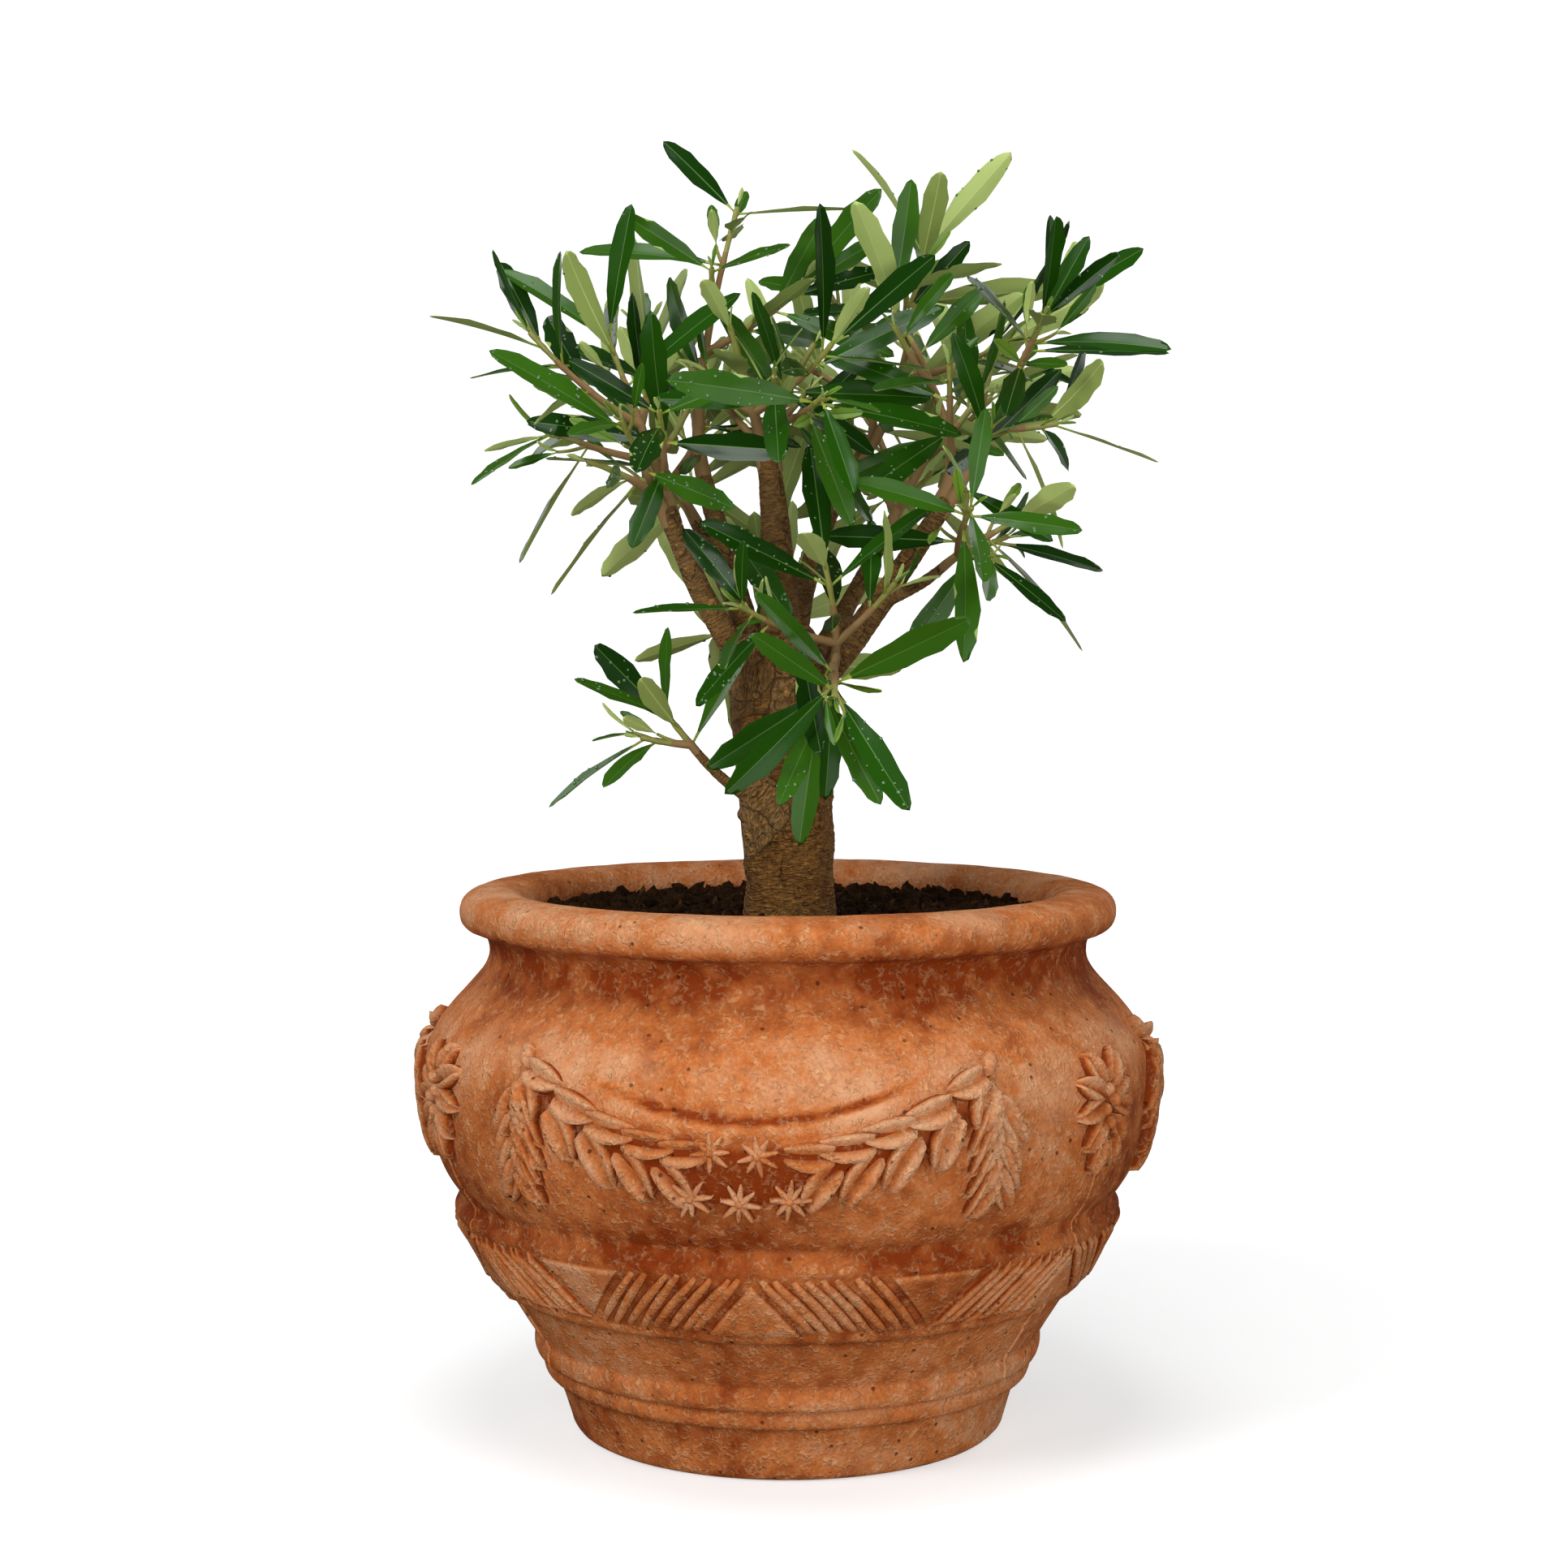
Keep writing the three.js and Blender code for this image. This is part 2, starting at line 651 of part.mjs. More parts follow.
// Points all over a leaf, past its stalk.
function leafSamples(leaf) {
  const samples = [leafPoint(leaf, 1, 0, 0)];
  for (let share = 0.25; share < 0.95; share += 0.08) {
    for (const aside of [-1, -0.5, 0, 0.5, 1]) {
      samples.push(leafPoint(leaf, share, aside, 0));
    }
  }
  return samples;
}

// A leaf's solid: a three-sided cone drawn out along the blade, with the rib as a keel underneath.
function leafSolid(leaf) {
  const shape = new THREE.ConeGeometry(1, 1, 3, 2);
  const place = shape.attributes.position;
  for (let i = 0; i < place.count; i++) {
    const height = place.getY(i) + 0.5;
    const ring = Math.max(1 - height, 1e-6);
    const aside = place.getX(i) / ring / Math.sin(Math.PI / 3);
    const depth = (place.getZ(i) / ring + 0.5) / 1.5;
    const share = height === 0.5 ? LEAF.widest : height;
    const over = share === 0 ? (0.5 - depth) * LEAF.stalk : -depth * LEAF.thickness * leaf.length;
    const at = leafPoint(leaf, share, share < 1 ? aside : 0, share < 1 ? over : 0);
    place.setXYZ(i, at.x, at.y, at.z);
  }
  return solid(shape);
}

// The curve of one side twig, which leaves the stem at an angle and rises towards its heading.
function twigCurve(random, root, heading, side, end) {
  const spread = radians(between(TWIG.angles, random));
  const way = heading.clone().multiplyScalar(Math.cos(spread)).addScaledVector(side, Math.sin(spread));
  const length = between(TWIG.lengths, random);
  if (end) {
    const tip = point(end);
    const sag = -TWIG.sag * tip.distanceTo(root);
    return bow(root, root.clone().lerp(tip, 0.5).addScaledVector(UP, sag), tip);
  }
  const rise = way.clone().addScaledVector(heading, TWIG.rise).normalize();
  const knee = root.clone().addScaledVector(way, length * 0.55);
  return bow(root, knee, knee.clone().addScaledVector(rise, length * 0.5));
}

// Side twigs leave the stem below its youngest pairs, on either side in turn.
function growTwigs(spray, random, stem, room) {
  const twigs = [{ ...stem, roll: 0, open: spray.open }];
  const pairs = pairsAlong(stem.length, STEM.bare);
  const level = levelAxis(stem.curve);
  const first = Math.min(3, pairs.length - 1);
  const taken = new Set();
  for (let k = 0; k < spray.twigs; k++) {
    const rank = first + Math.floor(((k + 0.9 * random()) / spray.twigs) * (pairs.length - first));
    const root = stem.curve.getPoint(pairs[rank]);
    const heading = stem.curve.getTangent(pairs[rank]);
    const turn = twigs[0].roll + (rank % 2) * radians(90) + (k % 2) * radians(180);
    const side = sideways(heading, level, turn + wobble(TWIG.turn, random));
    const curve = twigCurve(random, root, heading, side, k === 0 ? spray.mark : undefined);
    const roll = radians(360 * random());
    const open = between(TWIG.opens, random);
    const samples = curve.getPoints(16).slice(2);
    const fits = samples.slice(3).every((at) => room.free(at, CLEAR.twig, spray.name));
    if (fits && samples.every((at) => room.free(at, CLEAR.twig, spray.name, 0))) {
      const radiusAt = taper(TWIG.radius, TWIG.tipRadius);
      twigs.push({ curve, length: curve.getLength(), radiusAt, roll, open });
      taken.add(rank * 2 + (k % 2));
      samples.forEach((at) => room.take(at, CLEAR.twig, spray.name));
    }
  }
  return { twigs, taken };
}

// Opposite leaves in pairs, each pair square to the next. A leaf with no room is skipped.
function growLeaves(spray, random, twigs, taken, room) {
  const leaves = [];
  twigs.forEach((twig, which) => {
    const level = levelAxis(twig.curve);
    const pairs = pairsAlong(twig.length, which === 0 ? STEM.bare : TWIG.bare);
    pairs.forEach((share, rank) => {
      const root = twig.curve.getPoint(share);
      const heading = twig.curve.getTangent(share);
      const turn = twig.roll + (rank % 2) * radians(90) + wobble(PAIRS.turn, random);
      for (const half of [0, 1]) {
        const side = sideways(heading, level, turn + half * radians(180));
        const leaf = leafAt(random, root, heading, side, rank, twig.open);
        const samples = leafSamples(leaf);
        const stalk = [0.06, 0.12, 0.18].map((part) => leafPoint(leaf, part, 0, 0));
        const isTwig = which === 0 && taken.has(rank * 2 + half);
        const fits = samples.every((at) => room.free(at, CLEAR.leaf, spray.name));
        if (!isTwig && fits && stalk.every((at) => room.free(at, CLEAR.leaf, spray.name, 0))) {
          leaves.push(leaf);
          samples.concat(stalk).forEach((at) => room.take(at, CLEAR.leaf, spray.name));
        }
      }
    });
  });
  return leaves;
}

// The crown's room, with the trunk, the boughs and every spray's stem already in it.
function crownRoom() {
  const room = new Room();
  room.takeLimb(trunkAxis, trunkRadius, "trunk");
  for (const bough of BOUGHS) {
    room.takeLimb(boughAxis(bough), taper(...bough.radius), bough.name);
  }
  for (const spray of SPRAYS) {
    const stem = stemOf(spray);
    room.takeLimb(stem.curve, stem.radiusAt, spray.name);
  }
  return room;
}

function growSpray(spray, room) {
  const random = seeded(spray.seed);
  const { twigs, taken } = growTwigs(spray, random, stemOf(spray), room);
  const leaves = growLeaves(spray, random, twigs, taken, room);
  return { twigs, leaves };
}

function sprayGeometry(grown) {
  let shape = null;
  for (const twig of grown.twigs) {
    const steps = Math.max(2, Math.round(twig.length / 18));
    const part = solid(limb(twig.curve, twig.radiusAt, 3, steps));
    shape = shape ? shape.add(part) : part;
  }
  for (const leaf of grown.leaves) {
    shape = shape.add(leafSolid(leaf));
  }
  return geometryOf(whole(shape));
}

// The whole plant in its pot

const terracotta = new THREE.MeshStandardMaterial({ color: "#b5683f", roughness: 0.85, metalness: 0 });
const earth = new THREE.MeshStandardMaterial({ color: "#2c1f18", roughness: 0.98, metalness: 0 });
const bark = new THREE.MeshStandardMaterial({ color: "#7d5c3d", roughness: 0.9, metalness: 0 });
const foliage = new THREE.MeshStandardMaterial({ color: "#2c6a33", roughness: 0.45, metalness: 0 });

const bonsai = new THREE.Group();
bonsai.add(piece("pot", makePot(), terracotta));
bonsai.add(piece("soil", makeSoil(), earth));
bonsai.add(piece("trunk", geometryOf(trunkSolid(0)), bark));
for (const [name, geometry] of makeBoughs()) {
  bonsai.add(piece(`${name}_bough`, geometry, bark));
}
const room = crownRoom();
for (const spray of SPRAYS) {
  bonsai.add(piece(spray.name, sprayGeometry(growSpray(spray, room)), foliage));
}

export default bonsai;
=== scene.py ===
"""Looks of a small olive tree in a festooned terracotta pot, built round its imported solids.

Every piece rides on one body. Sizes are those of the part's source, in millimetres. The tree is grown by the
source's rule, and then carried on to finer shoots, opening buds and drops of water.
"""

import math

import bpy
import numpy as np
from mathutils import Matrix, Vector, kdtree, noise


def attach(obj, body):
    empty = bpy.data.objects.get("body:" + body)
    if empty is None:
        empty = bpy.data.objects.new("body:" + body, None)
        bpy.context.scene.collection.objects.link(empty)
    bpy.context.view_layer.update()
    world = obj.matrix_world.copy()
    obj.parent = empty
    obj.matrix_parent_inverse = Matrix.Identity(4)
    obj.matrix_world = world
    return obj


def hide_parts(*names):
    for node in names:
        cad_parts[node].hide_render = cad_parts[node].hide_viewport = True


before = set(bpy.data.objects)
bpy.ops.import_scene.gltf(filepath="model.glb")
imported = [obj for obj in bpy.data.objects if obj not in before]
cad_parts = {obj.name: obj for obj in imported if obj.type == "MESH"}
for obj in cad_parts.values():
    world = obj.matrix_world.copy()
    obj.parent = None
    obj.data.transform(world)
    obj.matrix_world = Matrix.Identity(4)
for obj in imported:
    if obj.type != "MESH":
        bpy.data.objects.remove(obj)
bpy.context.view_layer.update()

bl_info = {
    "name": "Olive bonsai",
    "version": (1, 0, 0),
    "blender": (4, 5, 0),
    "location": "View3D > Sidebar > Bonsai",
    "description": "Bark, leaves, soil and moulded terracotta for a potted olive tree",
    "category": "Object",
}

# The rule's sizes are millimetres, and Blender's are metres.
MM = 0.001
UP = np.array((0.0, 0.0, 1.0))
BODY = "root"

# Pot: a radius and a height for each feature of its outline
POT_HEIGHT = 249
FOOT = {"radius": 96, "edge": 3, "top": 25, "top_radius": 106.5}
BEADS = (
    {"bottom": 26, "top": 35, "radius": 112.5, "proud": 3},
    {"bottom": 35, "top": 45, "radius": 117, "proud": 3},
)
BAND = {"bottom": 71, "top": 104, "low_radius": 136, "high_radius": 153, "ledge": 5}
GROOVE = {"height": 111, "radius": 150.5}
BELLY = {"height": 165, "radius": 166.5, "fullness": 20, "shoulder": 197}
NECK = {"height": 221, "radius": 137, "bend": 205}
LIP = {"height": 239, "radius": 150.5, "round": 6, "under": 230, "crown": 134, "mouth": 119, "throat": 230}
POT_WALL = 14
POT_FLOOR = 16
POT_SIDES = 320

# Ornament: its middle in degrees from the front, its repeats, and how far its edges sink into the wall.
# A pair under leaf, petal, stalk, line, boss or berry is a half-breadth or a radius, and a lift.
ORNAMENT = {"middle": -5.8, "repeats": 3, "sink": 0.9}
SWAG = {
    "reach": 36.7,
    "low": 149,
    "rise": 33,
    "ledge": 19,
    "swell": 3.4,
    "upper": 4,
    "tilts": (-14, 40),
    "leaf": (6.8, 7.2),
    "bend": 0.06,
    "longer": 2,
    "unrest": 6,
}
SWAG_SHARES = (0.98, 0.825, 0.67, 0.515, 0.36)
SWAG_LENGTHS = (21, 26, 28, 28, 26)
KNOT = {"over": 6, "boss": (3.6, 4.5), "stretch": 1.9, "lean": 24}
FLOWERS = ((-5, 157), (1.6, 156), (-8, 138), (-1, 136.5), (6, 138))
FLOWER = {
    "petals": 8,
    "reach": 8.2,
    "petal": (2.4, 5.0),
    "narrow": 0.7,
    "longer": 2,
    "unrest": 14,
    "boss": (2.6, 6.0),
}
HANGING = {
    "drops": (5, 15, 25, 34),
    "open": 27,
    "length": 29,
    "shorter": 0.15,
    "leaf": (5.3, 5.8),
    "bend": 0.05,
    "longer": 3,
    "unrest": 8,
    "stalk": (1.2, 2.4),
    "stalk_over": 2,
    "stalk_end": (42, 0.6),
}
BUNCH = {
    "leaves": ((62, 171), (20, 169), (-18, 166), (-50, 160), (-74, 153)),
    "aside": 0.9,
    "length": 18,
    "leaf": (5.2, 6.0),
    "longer": 3,
    "unrest": 8,
    "fruit": ((-1.3, 163), (1.3, 166), (0.2, 157), (-0.4, 171)),
    "berry": (3.4, 6.2),
}
SEAM = {"heights": (150, 136, 121, 107, 98, 86, 75, 62, 49, 36), "drift": 1.2, "line": (0.9, 1.0)}
ZIGZAG = {
    "periods": 6,
    "strokes": 8,
    "first": 1.5,
    "space": 2.55,
    "lean": 10.0,
    "low": 73.5,
    "high": 103.5,
    "half": 2.2,
    "lift": 2.0,
}

# Soil: its level round the trunk, how far it rises to the wall of the pot, and the grid of its surface
SOIL = {
    "level": 235,
    "rise": 3.5,
    "flat": 40,
    "depth": 14,
    "below_crumbs": 2.4,
    "inner": 8,
    "clear": 0.4,
    "tuck": 6,
    "rings": 40,
    "sides": 96,
}
LUMPS = {"count": 12, "inner": 40, "outer": 104, "radius": (6, 10), "height": 3, "seed": 21}

# Crumbs: the shape of one, and for each piece its seed, stretch, share of the density and range of scales
CRUMB = {"rings": 4, "sides": 6, "smallest": 0.55, "range": 0.75, "flat": 0.8, "pole": 0.75}
CRUMBS = {
    "soil_crumbs": (5, 1.1, 1.0, (1.1, 3.0)),
    "soil_lumps": (8, 1.2, 0.16, (2.8, 5.2)),
    "soil_chips": (3, 2.6, 0.1, (0.8, 1.9)),
}

# Trunk and boughs: the foot, knee and tip of each axis, and the radii at its foot and tip
TRUNK = {
    "radius": 20.2,
    "fork_radius": 22.6,
    "swell": (0.1, 0.6),
    "dome": (0.85, 1.12),
    "flare": 2,
    "flare_fall": 14,
}
TRUNK_AXIS = ((1, 0, 235.3), (1, 0, 300), (-8, 0, 366))
BOUGHS = {
    "centre": ((-4, -3, 340), (-2, -6, 395), (-9, -10, 446), (11, 5)),
    "left": ((-8, 0, 338), (-36, -4, 366), (-55, -8, 422), (7.2, 4.4)),
    "right": ((4, -2, 334), (34, -8, 362), (72, -16, 426), (8.2, 4.4)),
    "top_left": ((-10, 6, 340), (-28, 12, 395), (-39, 16, 438), (7.2, 4)),
    "inner": ((2, 7, 344), (6, 26, 408), (38, 34, 452), (6, 3.6)),
    "back_left": ((-9, 5, 336), (-20, 36, 372), (-44, 60, 418), (6, 3.4)),
    "back_right": ((0, 6, 334), (24, 36, 366), (48, 60, 414), (6, 3.4)),
    "right_low": ((42, -10, 379), (58, -18, 384), (70, -26, 395), (3.2, 2.4)),
    "front": ((8, -8, 336), (18, -32, 340), (21, -42, 354), (4, 2.8)),
    "low_left": ((-8, -2, 284), (-28, -8, 294), (-42, -15, 312), (3.4, 2.2)),
    "back_low": ((-3, 8, 306), (-6, 34, 316), (-10, 52, 334), (3.6, 2.4)),
}

# Stubs of boughs that were cut off, in the same terms
STUBS = (
    ((-16, -7, 351), (-24, -9, 352), (-29, -10, 353), (7.5, 5)),
    ((-17, -4, 282), (-21, -5, 282), (-23, -6, 281), (3.6, 2.4)),
    ((10, -14, 352), (14, -20, 358), (15, -23, 362), (6, 4)),
)
STUB_ROUND = 0.7

# Sides and rings of each kind of limb before all are joined into one skin
LIMB_GRIDS = {"trunk": (28, 48), "bough": (14, 30), "stub": (12, 12)}

# Bark: how wide and long each kind of relief is, and the radii from which a limb ages
BARK = {
    "rings": (7, 1.5),
    "lumps": (11, 15),
    "plates": (2.6, 9),
    "warts": (5, 3.4),
    "wart_size": 0.3,
    "wart_age": 0.2,
    "youngest": 3.0,
    "ageing": 15.0,
    "buried": 0.3,
    "apart": 97,
}

# Sprays: the bough that each grows on, the tip of its stem, its side twigs, the opening of its end pair in
# degrees and the seed of its rule. The first side twig of a marked spray ends at the mark.
SPRAYS = {
    "left_spray": ("left", (-82, -12, 500), 6, 32, 830),
    "left_low_spray": ("left", (-90, -24, 442), 2, 56, 538),
    "top_left_spray": ("top_left", (-23, 12, 560), 4, 62, 1070),
    "centre_left_spray": ("centre", (-26, -28, 502), 3, 40, 1055),
    "centre_spray": ("centre", (12, -28, 494), 3, 40, 90),
    "inner_spray": ("inner", (64, 44, 546), 4, 36, 1055),
    "right_spray": ("right", (119, -20, 515), 5, 34, 1165),
    "right_inner_spray": ("right", (46, -2, 516), 3, 42, 608),
    "right_low_spray": ("right_low", (110, -34, 420), 3, 36, 752),
    "front_spray": ("front", (16, -60, 396), 2, 42, 618),
    "front_low_spray": ("front", (12, -68, 326), 1, 24, 1175),
    "low_left_spray": ("low_left", (-56, -22, 330), 1, 30, 48),
    "back_left_spray": ("back_left", (-90, 90, 486), 5, 36, 26),
    "back_right_spray": ("back_right", (88, 94, 484), 5, 36, 1352),
    "back_low_spray": ("back_low", (-6, 98, 376), 3, 40, 897),
    "back_spray": ("inner", (-4, 98, 500), 4, 40, 166),
}
MARKS = {"left_spray": (-116, -18, 500)}

# The rule's sizes, as in the part's source. Stems are shown thicker at their roots than the source has them.
LEAF = {"length": 54, "breadth": 0.24, "youngest": 0.88, "lengths": (0.82, 1.32), "droops": (0.02, 0.15)}
STANCE = {"older": 12, "widest": 80, "range": 20, "twist": 60, "hang": 0.06}
FACING = {"along": 0.6, "side": -0.3, "light": (0.6, 2), "outward": 0.9, "upward": 0.45}
STEM = {
    "radius": 2.4,
    "tip_radius": 1.5,
    "alone": 0.8,
    "paired": 0.42,
    "shown_alone": 0.95,
    "shown_paired": 0.74,
    "aside": 0.5,
    "knee": 0.28,
    "bare": 0.1,
}
TWIG = {
    "lengths": (20, 56),
    "angles": (40, 70),
    "opens": (14, 58),
    "below": 3,
    "turn": 50,
    "knee": 0.55,
    "rest": 0.5,
    "rise": 0.4,
    "sag": 0.12,
    "bare": 0.3,
}
PAIRS = {"bud": 2, "first_space": 6, "widen_by": 5, "widest_space": 18, "turn": 24}
CLEAR = {"leaf": 2, "twig": 2.4, "own": 2.6}
CORE = {"depth": 30, "width": 0.4}
CROWN = ((-173, -128, 264), (173, 165, 599))
GAP = 0.3

# Finer growth that the source leaves out: short shoots in the axils of older pairs, and buds on the tips
FINER = {
    "seed": 7000,
    "share": 0.62,
    "lengths": (5, 16),
    "angle": 42,
    "knee": 0.6,
    "rest": 0.5,
    "leaf_lengths": (15, 30),
    "opens": (20, 46),
    "inward": 0.2,
    "bud_lengths": (7, 13),
    "bud_open": 16,
    "clear": 0.9,
    "own": 1.1,
}

# Twigs as they are shown, rounder than the source's: radii, the knots at pairs of leaves, and steps
TWIG_SHOWN = {
    "root": 2.1,
    "tip": 1.15,
    "thinning": 1.4,
    "knot": 0.3,
    "knot_reach": 1.7,
    "step": 1.6,
    "sunk": 9,
    "shoot": (1.0, 0.7),
}

# Leaf blades: shares of the length that have a ring of points, and the size of the rib, fold and waves
LEAF_RINGS = np.array((0.0, 0.05, 0.12, 0.22, 0.35, 0.48, 0.61, 0.73, 0.83, 0.91, 0.965))
LEAF_RIB = (0.36, 0.12)
LEAF_MID = 0.56
LEAF_THICK = (0.7, 0.35)
LEAF_KEEL = (1.0, 0.6)
LEAF_NARROW = 0.84
LEAF_SUNK = 0.12
LEAF_BUMPS = 0.09
LEAF_BUMP_COUNT = 5.3
LEAF_COLUMNS = 10
LEAF_MARGINS = (0, 5)
LEAF_FOLDS = (0.06, 0.26)
LEAF_WAVE = 0.065
LEAF_WAVE_COUNT = 2.2
LEAF_TWIST = 16
STALK_RINGS = 2

# Finishes of the leaves in the order of their material numbers: the colour's setting, roughness and gloss.
# The first few are the usual upper sides.
GLOSS = {"Specular_IOR_Level": 0.14, "Coat_Weight": 0.05, "Coat_Roughness": 0.1}
LEAF_FINISHES = {
    "leaf deep": ("top_deep", 0.24, GLOSS),
    "leaf green": ("top_green", 0.25, GLOSS),
    "leaf bright": ("top_bright", 0.27, GLOSS),
    "leaf young": ("top_young", 0.42, {}),
    "underside sage": ("under_sage", 0.6, {}),
    "underside pale": ("under_pale", 0.6, {}),
    "leaf rib": ("rib", 0.45, {}),
    "leaf stalk": ("stalk", 0.45, {}),
    "underside rib": ("under_rib", 0.5, {}),
}
USUAL_TOPS = 3
FINISH_NUMBERS = {name: number for number, name in enumerate(LEAF_FINISHES)}

# Drops of water: how level a leaf has to be, how many leaves have drops, and a drop's outline and sizes
DROPS = {
    "level": 0.1,
    "share": 0.55,
    "rings": ((1.0, -0.12), (0.86, 0.28), (0.5, 0.52)),
    "poles": (-0.12, 0.6),
    "sizes": (0.35, 1.0),
    "seed": 4,
}

# Stage: the floor in millimetres, and in metres how far from the pot it brightens. Lights have the setting
# of their power, a place and a size in metres.
FLOOR = {"inner": 300, "flat": 2400, "bend": 900, "wall": 4500, "sides": 64, "brightens": (0.4, 1.5)}
LIGHTS = {
    "key": ("key", (-1.25, -1.15, 1.25), 0.7),
    "fill": ("fill", (1.6, -1.2, 0.9), 1.4),
    "top": ("top", (-0.1, -0.45, 2.1), 0.8),
    "bounce": ("bounce", (0.0, -1.3, 0.08), 1.2),
    "back_left": ("back", (-1.5, 1.3, 1.2), 1.2),
    "back_right": ("back", (1.5, 1.3, 1.2), 1.2),
}
LIT_POINT = (0, 0, 0.3)
SENSOR_WIDTH = 36.0


# Growth rule


def unit(vector):
    return vector / np.linalg.norm(vector)


def seeded(seed):
    """Gives a function that draws the same row of numbers from 0 to 1 for the same seed."""
    word = 0xFFFFFFFF
    state = seed & word

    def draw():
        nonlocal state
        state = (state + 0x6D2B79F5) & word
        mixed = ((state ^ (state >> 15)) * (state | 1)) & word
        added = ((mixed ^ (mixed >> 7)) * (mixed | 61)) & word
        mixed = ((mixed + added) & word) ^ mixed
        return (mixed ^ (mixed >> 14)) / (word + 1)

    return draw


def between(limits, random):
    return limits[0] + (limits[1] - limits[0]) * random()


def astray(span, random):
    """A value within half the span to either side."""
    return span * (random() - 0.5)


def wobble(degrees, random):
    """An angle within half the given degrees to either side."""
    return astray(math.radians(degrees), random)


def taper(start, end):
    return lambda share: start + (end - start) * share


def turned(vector, axis, angle):
    """The vector turned about a unit axis."""
    along = axis * np.dot(axis, vector) * (1 - math.cos(angle))
    return vector * math.cos(angle) + np.cross(axis, vector) * math.sin(angle) + along


def sideways(heading, level, turn):
    """A direction square to the heading, turned about it."""
    return turned(unit(np.cross(heading, level)), heading, turn)


def smooth_step(value, low, high):
    share = np.clip((value - low) / (high - low), 0, 1)
    return share * share * (3 - 2 * share)


class Bow:
    """The axis of a limb: a curve from one point past a knee to another."""

    def __init__(self, start, knee, end):
        self.start = np.array(start, float)
        self.knee = np.array(knee, float)
        self.end = np.array(end, float)

    def at(self, share):
        rest = 1 - share
        return rest * rest * self.start + 2 * rest * share * self.knee + share * share * self.end

    def heading(self, share):
        step = 0.0001
        return unit(self.at(min(share + step, 1)) - self.at(max(share - step, 0)))

    def points(self, count):
        return self.at(np.linspace(0, 1, count)[:, None])

    def length(self):
        return float(np.linalg.norm(np.diff(self.points(201), axis=0), axis=1).sum())

    def level(self):
        """The level direction that the chord runs along least."""
        chord = self.end - self.start
        along_x = abs(chord[0]) > abs(chord[1])
        return np.array((0.0, 1.0, 0.0)) if along_x else np.array((1.0, 0.0, 0.0))


class Room:
    """What is already taken in the crown: points with a margin round each, sorted into cells."""

    cell = 8

    def __init__(self):
        self.cells = {}

    def take(self, points, margin, owner):
        for x, y, z in np.asarray(points).tolist():
            key = (x // self.cell, y // self.cell, z // self.cell)
            self.cells.setdefault(key, []).append((x, y, z, margin, owner))

    def apart(self, key, place, margin, owner, own):
        x, y, z = place
        for other_x, other_y, other_z, other_margin, other_owner in self.cells.get(key, ()):
            need = own if other_owner == owner else margin + other_margin
            if (other_x - x) ** 2 + (other_y - y) ** 2 + (other_z - z) ** 2 < need * need:
                return False
        return True

    def fits(self, place, margin, owner, own):
        if any(value < low or value > high for value, low, high in zip(place, *CROWN)):
            return False
        x, y, z = (value // self.cell for value in place)
        return all(
            self.apart((x + i, y + j, z + k), place, margin, owner, own)
            for i in (-1, 0, 1)
            for j in (-1, 0, 1)
            for k in (-1, 0, 1)
        )

    def free(self, points, margin, owner, own=CLEAR["own"]):
        """True where every point is in the crown and clear of all that is taken, by its own spray too."""
        return all(self.fits(place, margin, owner, own) for place in np.asarray(points).tolist())

    def take_limb(self, curve, radius_at, owner):
        level = curve.level()
        steps = math.ceil(curve.length() / 3)
        for i in range(steps + 1):
            share = i / steps
            heading = curve.heading(share)
            radius = radius_at(share)
            count = math.ceil(2 * math.pi * radius / 4)
            turns = [2 * math.pi * j / count for j in range(count)]
            ring = [curve.at(share) + sideways(heading, level, turn) * radius for turn in turns]
            self.take(ring, CLEAR["leaf"], owner)


def trunk_radius(share):
    """The trunk flares at the ground, swells below the fork and closes in a low dome."""
    swell = smooth_step(share, *TRUNK["swell"])
    column = TRUNK["radius"] + (TRUNK["fork_radius"] - TRUNK["radius"]) * swell
    dome = np.sqrt(1 - smooth_step(share, *TRUNK["dome"]) ** 2)
    return (column + TRUNK["flare"] * np.exp(-TRUNK["flare_fall"] * share)) * dome


def stem_of(name):
    """The stem of a spray, which goes on from its bough's tip. Two stems on one tip stand side by side."""
    bough, tip = SPRAYS[name][:2]
    axis = Bow(*BOUGHS[bough][:3])
    tip_radius = BOUGHS[bough][3][1]
    along = axis.heading(1)
    start = axis.at(1) + along * GAP
    tip = np.array(tip, float)
    twins = [other for other in SPRAYS if SPRAYS[other][0] == bough and other != name]
    if twins:
        aside = tip - np.array(SPRAYS[twins[0]][1], float)
        start = start + unit(aside - along * np.dot(aside, along)) * tip_radius * STEM["aside"]
    length = float(np.linalg.norm(start - tip))
    radius = min(STEM["radius"], tip_radius * STEM["paired" if twins else "alone"])
    return {
        "curve": Bow(start, start + along * length * STEM["knee"], tip),
        "length": length,
        "radius_at": taper(radius, STEM["tip_radius"]),
        "root_radius": tip_radius * STEM["shown_paired" if twins else "shown_alone"],
        "along": along,
    }


def pairs_along(length, bare):
    """Places of the leaf pairs on a twig, from its tip back, closest together at the tip."""
    places = []
    back = PAIRS["bud"]
    space = PAIRS["first_space"]
    while back < length * (1 - bare):
        places.append(1 - back / length)
        back += space
        space = min(space + PAIRS["widen_by"], PAIRS["widest_space"])
    return places


